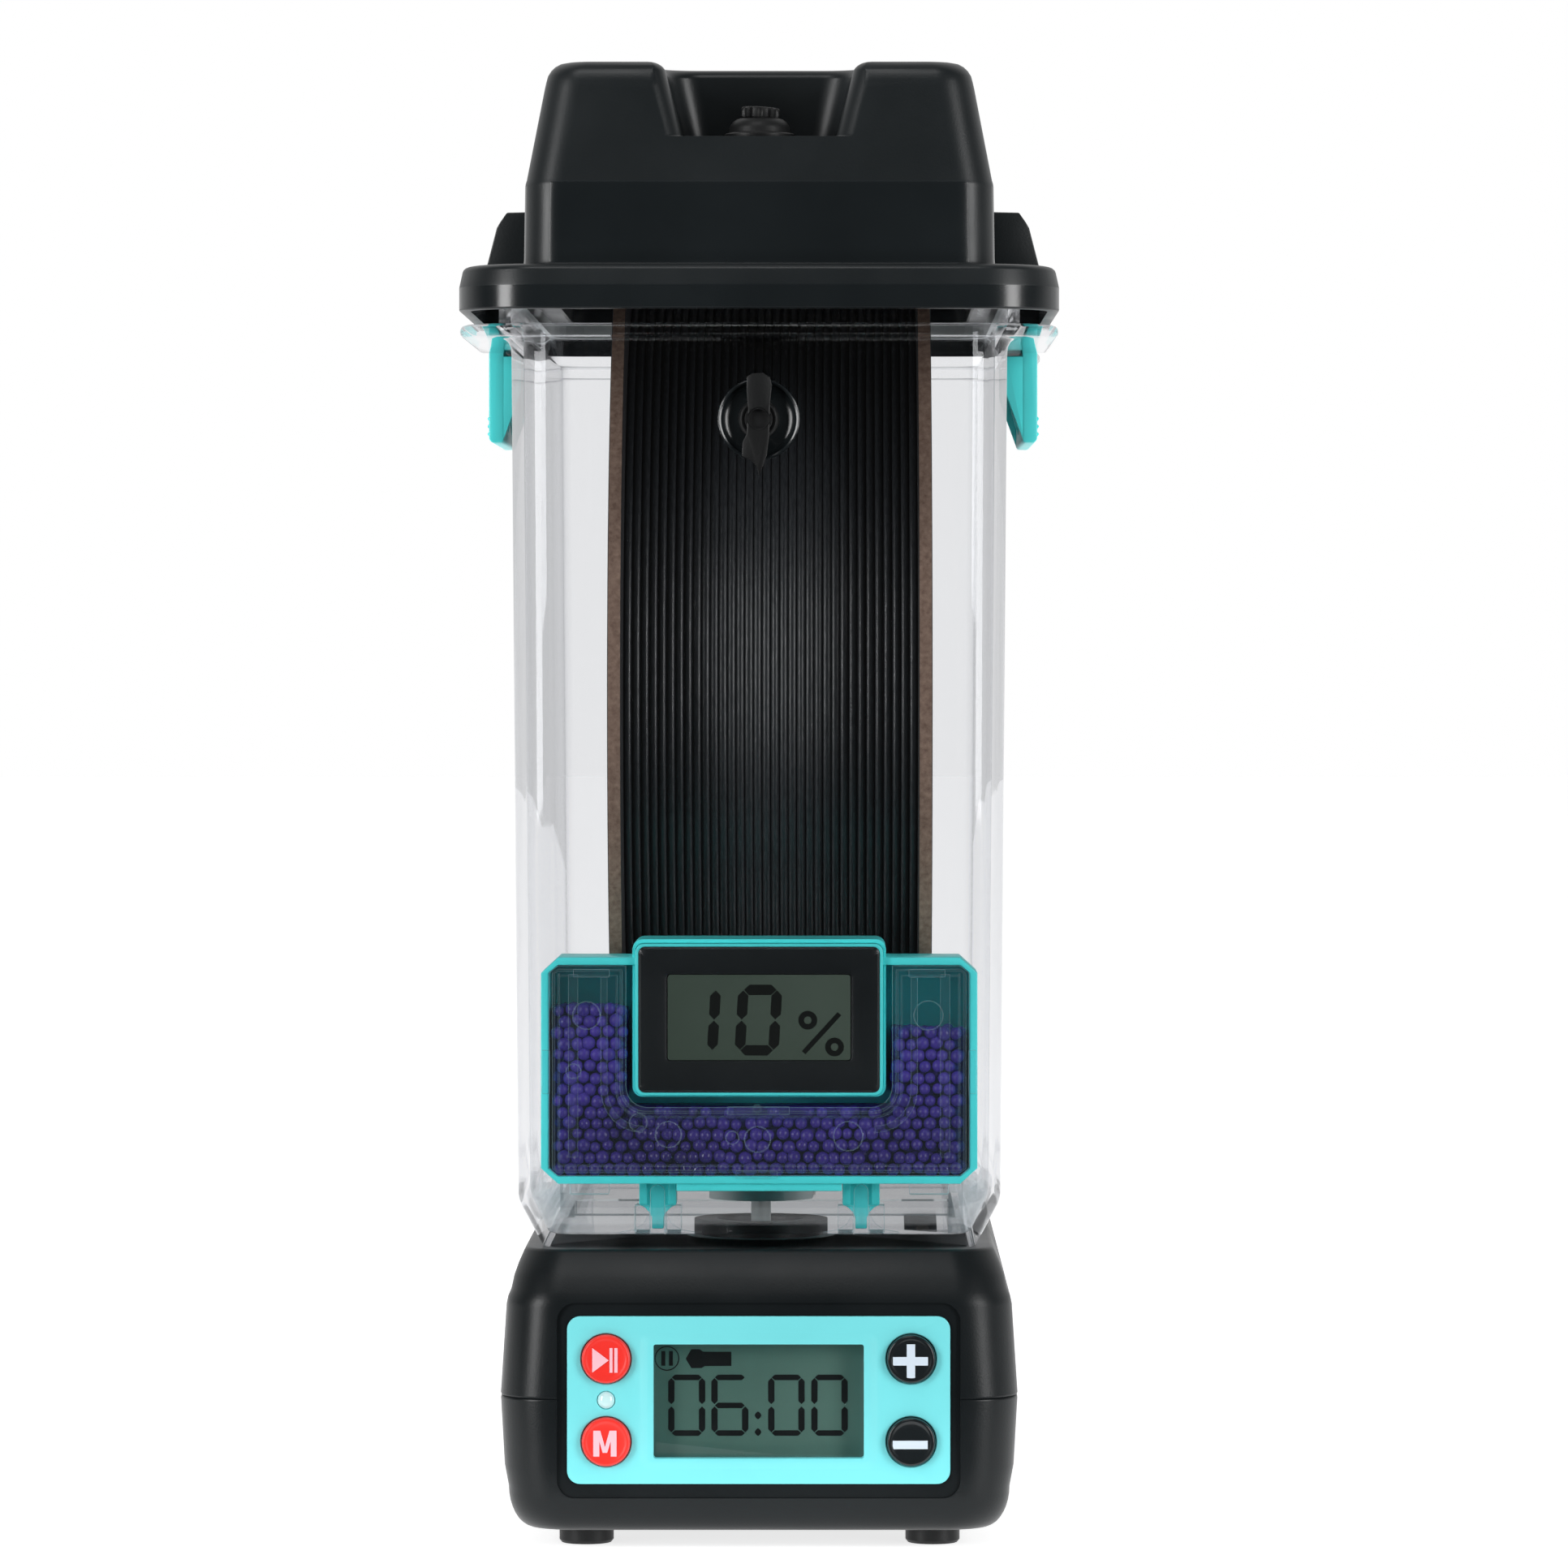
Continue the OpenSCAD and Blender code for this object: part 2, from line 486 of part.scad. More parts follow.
module port_grommet() color([0.08, 0.08, 0.09]) translate([lid_port[0], lid_port[1], 0]) difference() {
    union() {
        translate([0, 0, 274.8]) cylinder(d = 13, h = 1.8);
        translate([0, 0, 276.6]) cylinder(d = 10, h = 2.4);
        translate([0, 0, 279]) cylinder(d = 14.1, h = 1.2);
        translate([0, 0, 280.2]) cylinder(d = 12.2, h = 1.6);
        translate([0, 0, 281.8]) cylinder(d1 = 12.2, d2 = 8.6, h = 1.5);
    }
    translate([0, 0, 270]) cylinder(d = port_bore, h = 20);
}
module port_plug() color([0.14, 0.14, 0.15]) translate([lid_port[0], lid_port[1], 0]) difference() {
    union() {
        translate([0, 0, 272.5]) cylinder(d = port_bore - 0.1, h = 11);
        translate([0, 0, 283.3]) cylinder(d = 7.6, h = 2.2);
    }
    for (i = [0:9]) rotate(i * 36) translate([4.2, 0, 283]) cylinder(d = 1.2, h = 4);
}
module latch_pin(s) color([0.7, 0.71, 0.73]) ycyl(pin_d, s * pivot_x, pivot_z, -32.8, 33.6);
module latch_pin_left() latch_pin(-1);
module latch_pin_right() latch_pin(1);
module latch(s) color([0.3, 0.87, 0.84]) difference() {
    union() {
        yprofile([[s * 54, 221], [s * 54.4, 220.5], [s * 56.2, 220.5], [s * 56.9, 220.9], [s * 57.1, 221.8], [s * 57.1, 256.5],
            [s * 55.35, pivot_z - 0.6], [s * pivot_x, pivot_z], [s * 50.4, pivot_z - 2.2], [s * 54, 257.4]], -latch_hy, latch_hy);
        ycyl(6, s * pivot_x, pivot_z, -latch_hy, latch_hy);
        yprofile([[s * 54.2, 232], [s * 50.6, 237.4], [s * 50.6, 238.9], [s * 54.2, 238.9]], -22, 22);
        for (y = [-latch_hy, latch_hy - 2]) yprofile([[s * 54.2, 220.9], [s * 50.4, 231.2], [s * 50.4, 238.5], [s * 54.2, 238.5]], y, y + 2);
        for (i = [0:2]) yprofile([[s * 57, 221.9 + i * 1.6], [s * 57.5, 222.2 + i * 1.6], [s * 57.5, 222.6 + i * 1.6], [s * 57, 222.9 + i * 1.6]], -latch_hy + 3, latch_hy - 3);
    }
    ycyl(pin_d + 0.1, s * pivot_x, pivot_z, -40, 40);
}
module latch_left() latch(-1);
module latch_right() latch(1);

dock_lower_shell();
dock_upper_shell();
control_bezel();
lcd_window();
lcd_module();
control_board();
tact_switches();
status_light_pipe();
play_pause_button();
mode_button();
plus_button();
minus_button();
foot_front_left();
foot_front_right();
foot_rear_left();
foot_rear_right();
case_screw_front_left();
case_screw_front_right();
case_screw_rear_left();
case_screw_rear_right();
blower_housing();
blower_motor();
blower_impeller();
heater_element();
air_duct();
return_duct();
power_board();
power_inlet();
inlet_air_gasket();
outlet_air_gasket();
tub_shell();
outlet_grommet();
front_plug();
roller_cradle();
front_roller_shaft();
rear_roller_shaft();
front_rollers();
rear_rollers();
inlet_valve_seat();
outlet_valve_seat();
inlet_valve();
outlet_valve();
spool_flange_left();
spool_flange_right();
spool_core();
filament_winding();
cassette_tray();
cassette_cover();
desiccant_beads();
hygrometer_frame();
hygrometer_bezel();
hygrometer_lcd();
lid_shell();
lid_gasket();
port_grommet();
port_plug();
latch_pin_left();
latch_pin_right();
latch_left();
latch_right();
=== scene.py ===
import bpy, bmesh, math, random
from mathutils import Vector, Matrix


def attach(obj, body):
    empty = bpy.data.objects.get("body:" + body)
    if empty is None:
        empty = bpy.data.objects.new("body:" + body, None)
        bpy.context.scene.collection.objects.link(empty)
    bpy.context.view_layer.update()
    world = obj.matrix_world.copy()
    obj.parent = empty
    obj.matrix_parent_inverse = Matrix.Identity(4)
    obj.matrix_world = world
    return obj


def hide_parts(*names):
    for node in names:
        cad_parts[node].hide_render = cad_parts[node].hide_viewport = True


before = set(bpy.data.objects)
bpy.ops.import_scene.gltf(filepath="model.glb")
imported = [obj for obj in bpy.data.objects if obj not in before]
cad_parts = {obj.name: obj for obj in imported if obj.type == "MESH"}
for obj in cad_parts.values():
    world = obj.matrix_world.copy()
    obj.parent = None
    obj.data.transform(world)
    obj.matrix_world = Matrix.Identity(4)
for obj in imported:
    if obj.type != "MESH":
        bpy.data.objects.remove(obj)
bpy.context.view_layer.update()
rnd = random.Random(7)
S = 0.001
COL = bpy.context.scene.collection


# ------------------------------------------------------------------ mesh helpers
def new_obj(name, verts, faces, smooth=40, scale=S):
    me = bpy.data.meshes.new(name)
    me.from_pydata([(x * scale, y * scale, z * scale) for x, y, z in verts], [], faces)
    me.validate()
    me.update()
    ob = bpy.data.objects.new(name, me)
    COL.objects.link(ob)
    fix_normals(ob)
    shade(ob, smooth)
    return ob


def fix_normals(ob):
    bm = bmesh.new()
    bm.from_mesh(ob.data)
    bmesh.ops.recalc_face_normals(bm, faces=bm.faces)
    bm.to_mesh(ob.data)
    bm.free()


def shade(ob, angle=40):
    me = ob.data
    me.polygons.foreach_set("use_smooth", [True] * len(me.polygons))
    me.set_sharp_from_angle(angle=math.radians(angle))
    me.update()


def rr(a, b, r, z, n=9, notch=None, ny=30.5):
    """rounded rectangle ring, counter-clockwise from +x,+y; notch clamps |x| between y = -ny and ny"""
    pts = []
    for cx, cy, a0 in ((a - r, b - r, 0), (r - a, b - r, 90), (r - a, r - b, 180), (a - r, r - b, 270)):
        for i in range(n + 1):
            t = math.radians(a0 + 90 * i / n)
            pts.append((cx + r * math.cos(t), cy + r * math.sin(t), z))
        if a0 in (90, 270):
            s = -1 if a0 == 90 else 1
            k = min(a, notch) if notch else a
            for y, x in ((ny + 0.25, a), (ny, k), (-ny, k), (-ny - 0.25, a)):
                pts.append((s * x, y * (1 if a0 == 90 else -1), z))
    return pts


def loft(name, rings, smooth=40, cap=(True, True), closed=False):
    n = len(rings[0])
    verts = [p for r in rings for p in r]
    faces = []
    m = len(rings)
    for k in range(m if closed else m - 1):
        a0, b0 = k * n, ((k + 1) % m) * n
        for i in range(n):
            j = (i + 1) % n
            faces.append((a0 + i, a0 + j, b0 + j, b0 + i))
    if not closed:
        if cap[0]:
            faces.append(tuple(range(n - 1, -1, -1)))
        if cap[1]:
            faces.append(tuple(range((m - 1) * n, m * n)))
    return new_obj(name, verts, faces, smooth)


def lathe(name, prof, origin, axis, seg=48, smooth=40):
    """prof: (radius, height) pairs along the axis; ends on the axis close with a point"""
    ax = Vector(axis).normalized()
    u = ax.orthogonal().normalized()
    v = ax.cross(u)
    o = Vector(origin)
    verts, idx = [], []
    for r, h in prof:
        if r < 1e-6:
            idx.append([len(verts)])
            verts.append(tuple(o + ax * h))
        else:
            row = []
            for i in range(seg):
                t = 2 * math.pi * i / seg
                row.append(len(verts))
                verts.append(tuple(o + ax * h + u * (r * math.cos(t)) + v * (r * math.sin(t))))
            idx.append(row)
    faces = []
    closed = len(idx[0]) > 1 and len(idx[-1]) > 1
    pairs = list(zip(idx[:-1], idx[1:])) + ([(idx[-1], idx[0])] if closed else [])
    for p, q in pairs:
        for i in range(seg):
            j = (i + 1) % seg
            if len(p) == 1 and len(q) == 1:
                continue
            if len(p) == 1:
                faces.append((p[0], q[j], q[i]))
            elif len(q) == 1:
                faces.append((p[i], p[j], q[0]))
            else:
                faces.append((p[i], p[j], q[j], q[i]))
    return new_obj(name, verts, faces, smooth)


def prism(name, pts, frm, d0, d1, bevel=0.0, seg=2, smooth=40, only=None):
    """polygon pts (2-D) extruded between d0 and d1 along the missing axis of frm ('xz', 'xy' or 'yz')"""
    def place(p, d):
        if frm == "xz":
            return (p[0], d, p[1])
        if frm == "xy":
            return (p[0], p[1], d)
        return (d, p[0], p[1])
    n = len(pts)
    verts = [place(p, d0) for p in pts] + [place(p, d1) for p in pts]
    faces = [tuple(range(n - 1, -1, -1)), tuple(range(n, 2 * n))]
    faces += [(i, (i + 1) % n, n + (i + 1) % n, n + i) for i in range(n)]
    ob = new_obj(name, verts, faces, smooth)
    if bevel:
        round_edges(ob, bevel, seg, 30)
        shade(ob, smooth)
    return ob


def round_edges(ob, width, seg=2, angle=30):
    bm = bmesh.new()
    bm.from_mesh(ob.data)
    es = [e for e in bm.edges if len(e.link_faces) == 2 and e.calc_face_angle(0) > math.radians(angle)]
    bmesh.ops.bevel(bm, geom=es, offset=width * S, segments=seg, profile=0.5, affect="EDGES", clamp_overlap=True)
    bmesh.ops.recalc_face_normals(bm, faces=bm.faces)
    bm.to_mesh(ob.data)
    bm.free()


def rbox(name, lo, hi, r=0.4, seg=2):
    pts = [(lo[0], lo[2]), (hi[0], lo[2]), (hi[0], hi[2]), (lo[0], hi[2])]
    return prism(name, pts, "xz", lo[1], hi[1], r, seg)


def arc2(a, b, r, cx=0.0, cz=0.0, n=6):
    """rounded rectangle outline in 2-D"""
    pts = []
    for x, z, a0 in ((a - r, b - r, 0), (r - a, b - r, 90), (r - a, r - b, 180), (a - r, r - b, 270)):
        for i in range(n + 1):
            t = math.radians(a0 + 90 * i / n)
            pts.append((cx + x + r * math.cos(t), cz + z + r * math.sin(t)))
    return pts


def ring_prism(name, outer, inner, frm, d0, d1, bevel=0.3, seg=2, smooth=40):
    """frame between two outlines with the same number of points, bevelled all round"""
    def place(p, d):
        if frm == "xz":
            return (p[0], d, p[1])
        if frm == "xy":
            return (p[0], p[1], d)
        return (d, p[0], p[1])
    n = len(outer)
    verts = [place(p, d0) for p in outer] + [place(p, d1) for p in outer] + [place(p, d0) for p in inner] + [place(p, d1) for p in inner]
    faces = []
    for i in range(n):
        j = (i + 1) % n
        faces += [(i, j, n + j, n + i), (2 * n + j, 2 * n + i, 3 * n + i, 3 * n + j), (n + i, n + j, 3 * n + j, 3 * n + i), (j, i, 2 * n + i, 2 * n + j)]
    ob = new_obj(name, verts, faces, smooth)
    if bevel:
        round_edges(ob, bevel, seg, 50)
        shade(ob, smooth)
    return ob


def boolean(ob, cutters, op="DIFFERENCE", keep=False):
    for c in cutters if isinstance(cutters, (list, tuple)) else [cutters]:
        m = ob.modifiers.new("b", "BOOLEAN")
        m.operation = op
        m.solver = "EXACT"
        m.object = c
        bpy.context.view_layer.update()
        dg = bpy.context.evaluated_depsgraph_get()
        me = bpy.data.meshes.new_from_object(ob.evaluated_get(dg))
        old = ob.data
        ob.modifiers.remove(m)
        me.name = old.name + "_c"
        ob.data = me
        bpy.data.meshes.remove(old)
        if not keep:
            bpy.data.objects.remove(c, do_unlink=True)
    bm = bmesh.new()
    bm.from_mesh(ob.data)
    bmesh.ops.remove_doubles(bm, verts=bm.verts, dist=1e-6)
    bmesh.ops.dissolve_degenerate(bm, edges=bm.edges, dist=1e-7)
    bm.to_mesh(ob.data)
    bm.free()
    return ob


def join(name, obs):
    verts, faces, off, mats = [], [], 0, []
    for o in obs:
        m = o.matrix_world
        verts += [tuple(m @ v.co) for v in o.data.vertices]
        faces += [tuple(i + off for i in p.vertices) for p in o.data.polygons]
        off += len(o.data.vertices)
    me = bpy.data.meshes.new(name)
    me.from_pydata(verts, [], faces)
    me.update()
    ob = bpy.data.objects.new(name, me)
    COL.objects.link(ob)
    for o in obs:
        bpy.data.objects.remove(o, do_unlink=True)
    shade(ob, 40)
    return ob


# ------------------------------------------------------------------ materials
def mat_new(name):
    m = bpy.data.materials.new(name)
    m.use_nodes = True
    nt = m.node_tree
    b = nt.nodes.get("Principled BSDF")
    return m, nt, b


def noise(nt, scale, detail=3.0, rough=0.5, stretch=None):
    tc = nt.nodes.new("ShaderNodeTexCoord")
    n = nt.nodes.new("ShaderNodeTexNoise")
    n.inputs["Scale"].default_value = scale
    n.inputs["Detail"].default_value = detail
    n.inputs["Roughness"].default_value = rough
    if stretch:
        mp = nt.nodes.new("ShaderNodeMapping")
        mp.inputs["Scale"].default_value = stretch
        nt.links.new(tc.outputs["Object"], mp.inputs["Vector"])
        nt.links.new(mp.outputs["Vector"], n.inputs["Vector"])
    else:
        nt.links.new(tc.outputs["Object"], n.inputs["Vector"])
    return n


def ramp(nt, src, stops):
    r = nt.nodes.new("ShaderNodeValToRGB")
    els = r.color_ramp.elements
    while len(els) > len(stops):
        els.remove(els[-1])
    while len(els) < len(stops):
        els.new(0.5)
    for e, (p, c) in zip(els, stops):
        e.position = p
        e.color = c if len(c) == 4 else (*c, 1)
    nt.links.new(src, r.inputs["Fac"])
    return r


def maprange(nt, src, a, b, c, d):
    n = nt.nodes.new("ShaderNodeMapRange")
    n.inputs["From Min"].default_value = a
    n.inputs["From Max"].default_value = b
    n.inputs["To Min"].default_value = c
    n.inputs["To Max"].default_value = d
    nt.links.new(src, n.inputs["Value"])
    return n


def bump(nt, b, src, dist, strength=1.0):
    n = nt.nodes.new("ShaderNodeBump")
    n.inputs["Distance"].default_value = dist
    n.inputs["Strength"].default_value = strength
    nt.links.new(src, n.inputs["Height"])
    nt.links.new(n.outputs["Normal"], b.inputs["Normal"])
    return n


def plastic(name, c, rough=0.4, vary=0.06, tex=2600, depth=0.00002, shade_by=0.12, spec=0.5, coat=0.0, sss=0.0):
    m, nt, b = mat_new(name)
    big = noise(nt, 35, 4)
    lo = tuple(max(0, x * (1 - shade_by)) for x in c)
    hi = tuple(min(1, x * (1 + shade_by)) for x in c)
    r = ramp(nt, big.outputs["Fac"], [(0.3, lo), (0.7, hi)])
    nt.links.new(r.outputs["Color"], b.inputs["Base Color"])
    mr = maprange(nt, big.outputs["Fac"], 0.3, 0.7, max(0.02, rough - vary), rough + vary)
    nt.links.new(mr.outputs["Result"], b.inputs["Roughness"])
    fine = noise(nt, tex, 2)
    if depth:
        bump(nt, b, fine.outputs["Fac"], depth, 0.6)
    b.inputs["Specular IOR Level"].default_value = spec
    if coat:
        b.inputs["Coat Weight"].default_value = coat
        b.inputs["Coat Roughness"].default_value = 0.12
    if sss:
        b.inputs["Subsurface Weight"].default_value = sss
        b.inputs["Subsurface Radius"].default_value = (0.002, 0.002, 0.002)
    return m


def clear(name, tint=(0.966, 0.968, 0.973), edge=(0.74, 0.745, 0.76), gloss=0.9, base=0.03, power=4.5, rough=0.03, body=(0.9, 0.91, 0.93), metallic=1.0):
    """clear plastic: tinted see-through, darker where it is seen edge on and mixed there towards the body shader, which
    is glossier with a metallic body and a painted pale highlight with a pale non-metallic body
    """
    m, nt, b = mat_new(name)
    out = nt.nodes.get("Material Output")
    b.inputs["Base Color"].default_value = (*body, 1)
    b.inputs["Metallic"].default_value = metallic
    fine = noise(nt, 60, 3)
    mr = maprange(nt, fine.outputs["Fac"], 0.3, 0.7, max(0.01, rough - 0.01), rough + 0.02)
    nt.links.new(mr.outputs["Result"], b.inputs["Roughness"])
    lw = nt.nodes.new("ShaderNodeLayerWeight")
    lw.inputs["Blend"].default_value = 0.5
    tr = nt.nodes.new("ShaderNodeBsdfTransparent")
    dark = ramp(nt, lw.outputs["Facing"], [(0.3, tint), (0.97, edge)])
    nt.links.new(dark.outputs["Color"], tr.inputs["Color"])
    pw = nt.nodes.new("ShaderNodeMath")
    pw.operation = "POWER"
    pw.inputs[1].default_value = power
    nt.links.new(lw.outputs["Facing"], pw.inputs[0])
    k = maprange(nt, pw.outputs["Value"], 0.0, 1.0, base, gloss)
    mx = nt.nodes.new("ShaderNodeMixShader")
    nt.links.new(k.outputs["Result"], mx.inputs["Fac"])
    nt.links.new(tr.outputs["BSDF"], mx.inputs[1])
    nt.links.new(b.outputs["BSDF"], mx.inputs[2])
    nt.links.new(mx.outputs["Shader"], out.inputs["Surface"])
    return m


M = {}
M["black"] = plastic("black_satin", (0.0105, 0.0135, 0.015), 0.36, 0.05, 2400, 0.00003, 0.12, 0.4)
M["black_gloss"] = plastic("black_gloss", (0.0105, 0.0135, 0.015), 0.2, 0.04, 1500, 0.00001)
M["black_soft"] = plastic("black_rubber", (0.009, 0.0095, 0.01), 0.45, 0.06, 1800, 0.00004, 0.12, 0.3)
M["dock_black"] = plastic("dock_satin", (0.0075, 0.0098, 0.011), 0.34, 0.05, 2400, 0.00003, 0.12, 0.25)
M["teal"] = plastic("teal_plastic", (0.1, 0.92, 0.92), 0.35, 0.05, 2200, 0.00002, 0.05, sss=0.1)
M["panel"] = plastic("panel_teal", (0.2, 0.78, 0.82), 0.42, 0.05, 2400, 0.00002, 0.03)
M["red"] = plastic("button_red", (0.94, 0.035, 0.025), 0.35, 0.05, 2200, 0.00002, 0.04)
M["symbol_pink"] = plastic("symbol_pink", (1.0, 0.55, 0.62), 0.5, 0.04, 2200, 0.0, 0.02)
M["symbol_white"] = plastic("symbol_white", (0.68, 0.78, 0.88), 0.5, 0.04, 2200, 0.0, 0.02)
M["pcb"] = plastic("circuit_board", (0.01, 0.13, 0.05), 0.35, 0.08, 1500, 0.00003, 0.25)
M["dark"] = plastic("moulded_dark", (0.022, 0.022, 0.024), 0.5, 0.06, 2000, 0.00003)
M["seal"] = plastic("pale_seal", (0.62, 0.66, 0.66), 0.5, 0.06, 1500, 0.00003, 0.06, sss=0.2)
M["beads"] = plastic("bead_purple", (0.07, 0.034, 0.33), 0.35, 0.15, 500, 0.00008, 0.55, sss=0.15)
M["card_in"] = plastic("board_core", (0.17, 0.115, 0.085), 0.85, 0.05, 900, 0.00012, 0.25)


def metal(name, c, rough=0.28, stretch=(1, 1, 40)):
    m, nt, b = mat_new(name)
    b.inputs["Metallic"].default_value = 1.0
    n = noise(nt, 300, 3, 0.5, stretch)
    r = ramp(nt, n.outputs["Fac"], [(0.3, tuple(x * 0.85 for x in c)), (0.7, c)])
    nt.links.new(r.outputs["Color"], b.inputs["Base Color"])
    mr = maprange(nt, n.outputs["Fac"], 0.2, 0.8, rough - 0.08, rough + 0.12)
    nt.links.new(mr.outputs["Result"], b.inputs["Roughness"])
    bump(nt, b, n.outputs["Fac"], 0.00001, 0.4)
    return m


M["steel"] = metal("plated_steel", (0.58, 0.58, 0.6))
M["fins"] = metal("heater_fins", (0.62, 0.6, 0.56), 0.35)
M["clear"] = clear("clear_tub")
# clear_cover: the pale cyan non-metallic body mixed in where the cover is seen edge on is a painted highlight along its
# edges and ribs, in place of a real reflection
M["clear_cover"] = clear("clear_cover", (0.978, 0.981, 0.985), (0.85, 0.9, 0.92), 0.75, 0.012, 1.9, 0.06, (0.7, 0.92, 0.95), 0.0)
M["window"] = clear("panel_window", (0.965, 0.972, 0.972), (0.8, 0.82, 0.82), 0.8, 0.02, 4.5, 0.02)


def card():
    """black paper faces over brown board that shows at the cut rim"""
    m, nt, b = mat_new("spool_card")
    geo = nt.nodes.new("ShaderNodeNewGeometry")
    sep = nt.nodes.new("ShaderNodeSeparateXYZ")
    nt.links.new(geo.outputs["Normal"], sep.inputs["Vector"])
    ab = nt.nodes.new("ShaderNodeMath")
    ab.operation = "ABSOLUTE"
    nt.links.new(sep.outputs["X"], ab.inputs[0])
    fib = noise(nt, 900, 4, 0.6)
    brown = ramp(nt, fib.outputs["Fac"], [(0.3, (0.14, 0.085, 0.06)), (0.7, (0.27, 0.185, 0.14))])
    paper = ramp(nt, fib.outputs["Fac"], [(0.3, (0.018, 0.018, 0.019)), (0.7, (0.034, 0.034, 0.036))])
    k = maprange(nt, ab.outputs["Value"], 0.45, 0.75, 0.0, 1.0)
    mx = nt.nodes.new("ShaderNodeMix")
    mx.data_type = "RGBA"
    nt.links.new(k.outputs["Result"], mx.inputs["Factor"])
    nt.links.new(brown.outputs["Color"], mx.inputs[6])
    nt.links.new(paper.outputs["Color"], mx.inputs[7])
    nt.links.new(mx.outputs[2], b.inputs["Base Color"])
    mr = maprange(nt, fib.outputs["Fac"], 0.3, 0.7, 0.7, 0.9)
    nt.links.new(mr.outputs["Result"], b.inputs["Roughness"])
    bump(nt, b, fib.outputs["Fac"], 0.0001, 0.5)
    return m


M["card"] = card()


def filament():
    m, nt, b = mat_new("filament_black")
    n = noise(nt, 500, 3, 0.5, (9, 1, 1))
    r = ramp(nt, n.outputs["Fac"], [(0.3, (0.012, 0.014, 0.016)), (0.7, (0.024, 0.027, 0.03))])
    nt.links.new(r.outputs["Color"], b.inputs["Base Color"])
    mr = maprange(nt, n.outputs["Fac"], 0.3, 0.7, 0.3, 0.45)
    nt.links.new(mr.outputs["Result"], b.inputs["Roughness"])
    bump(nt, b, n.outputs["Fac"], 0.00003, 0.4)
    return m


M["filament"] = filament()


def screen(name, c, d):
    m, nt, b = mat_new(name)
    n = noise(nt, 25, 2)
    r = ramp(nt, n.outputs["Fac"], [(0.3, c), (0.7, d)])
    nt.links.new(r.outputs["Color"], b.inputs["Base Color"])
    mr = maprange(nt, n.outputs["Fac"], 0.3, 0.7, 0.12, 0.2)
    nt.links.new(mr.outputs["Result"], b.inputs["Roughness"])
    return m


M["lcd"] = screen("display_grey", (0.09, 0.18, 0.155), (0.13, 0.235, 0.2))
M["gauge_lcd"] = screen("gauge_lcd", (0.06, 0.085, 0.066), (0.085, 0.115, 0.092))
M["light"] = plastic("light_pipe", (0.62, 0.93, 0.95), 0.08, 0.04, 900, 0.00004, 0.12, 0.8)
M["segment"] = plastic("display_segment", (0.008, 0.01, 0.011), 0.3, 0.03, 1500, 0.0, 0.1)
M["segment_pale"] = plastic("gauge_segment", (0.006, 0.008, 0.007), 0.3, 0.03, 1500, 0.0, 0.1)


def dress(ob, mat, body=None, replaces=()):
    ob.data.materials.clear()
    ob.data.materials.append(M[mat])
    if body:
        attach(ob, body)
    if replaces:
        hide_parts(*([replaces] if isinstance(replaces, str) else replaces))
    return ob


def node_look(node, mat, bevel=0.0):
    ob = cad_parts[node]
    ob.data.materials.clear()
    ob.data.materials.append(M[mat])
    if bevel:
        md = ob.modifiers.new("edge", "BEVEL")
        md.width = bevel * S
        md.segments = 2
        md.limit_method = "ANGLE"
        md.angle_limit = math.radians(40)
    return ob


# ------------------------------------------------------------------ lid
OUT = [(59.05, 123.65, 16.15, 244.3), (59.3, 123.9, 16.4, 244.42), (59.4, 124, 16.5, 244.7), (59.4, 124, 16.5, 248.95), (59.34, 123.94, 16.44, 249.25),
       (58.74, 123.34, 15.84, 252.0), (58.55, 123.15, 15.65, 252.45), (58.15, 122.75, 15.25, 252.8), (57.5, 122.1, 14.6, 253.05), (56.8, 121.4, 13.9, 253.17),
       (55.9, 120.5, 13.0, 253.2), (55.2, 119.8, 12.4, 253.2)]
DOME = [(47.6, 112.3, 8.9, 253.2), (47.1, 111.8, 8.4, 253.4), (46.8, 111.5, 8.1, 253.9), (46.7, 111.4, 8, 254.8), (46.5, 111.2, 8, 269.3),
        (46.4, 111.1, 7.9, 269.9), (46.2, 110.9, 7.8, 270.5), (42.75, 107.45, 7.3, 288.8), (42.45, 107.15, 7.2, 290.2), (42.1, 106.8, 7.0, 291.5), (41.5, 106.2, 6.7, 292.5),
        (40.7, 105.4, 6.3, 293.3), (39.7, 104.4, 5.9, 293.9), (38.4, 103.1, 5.4, 294.2)]
rings = [rr(a, b, r, z, 9, 53.7, 30.0) for a, b, r, z in OUT + DOME]
lid = loft("lid_cover", rings)
VOID = [(57.0, 121.6, 14.1, 240), (57.2, 121.8, 14.3, 250.7), (56.9, 121.5, 14.0, 251.0), (44.9, 109.6, 6.4, 251.0), (44.5, 109.2, 6, 251.4),
        (44.3, 109, 6, 269), (40.3, 105, 5, 289), (39.6, 104.3, 4.6, 290.4), (38.0, 102.7, 4, 291.5), (36.5, 101.2, 3.5, 291.8)]
void = loft("void", [rr(a, b, r, z, 9, 51.9, 32.0) for a, b, r, z in VOID])


def recess(z, g):
    """outline of the port recess at height z, grown by g into the shell"""
    t = (z - 279) / 15.2
    xs, r, yr, yf = 15.2 + 3.95 * t, 5.3 + 1.2 * t, -82.2 + 0.65 * t, -109.45 + 2.95 * t
    pts = [(-xs - 4.7, -118)]
    for k in range(9):
        a = math.radians(90 - 11.25 * k)
        pts.append((-xs - 4.7 + (4.7 - g) * math.cos(a), yf + 4.7 - (4.7 - g) * math.sin(a)))
    for k in range(9):
        a = math.radians(11.25 * k)
        pts.append((-xs + r - (r + g) * math.cos(a), yr - r + (r + g) * math.sin(a)))
    return [(x, y, z) for x, y in pts] + [(-x, y, z) for x, y in reversed(pts)]


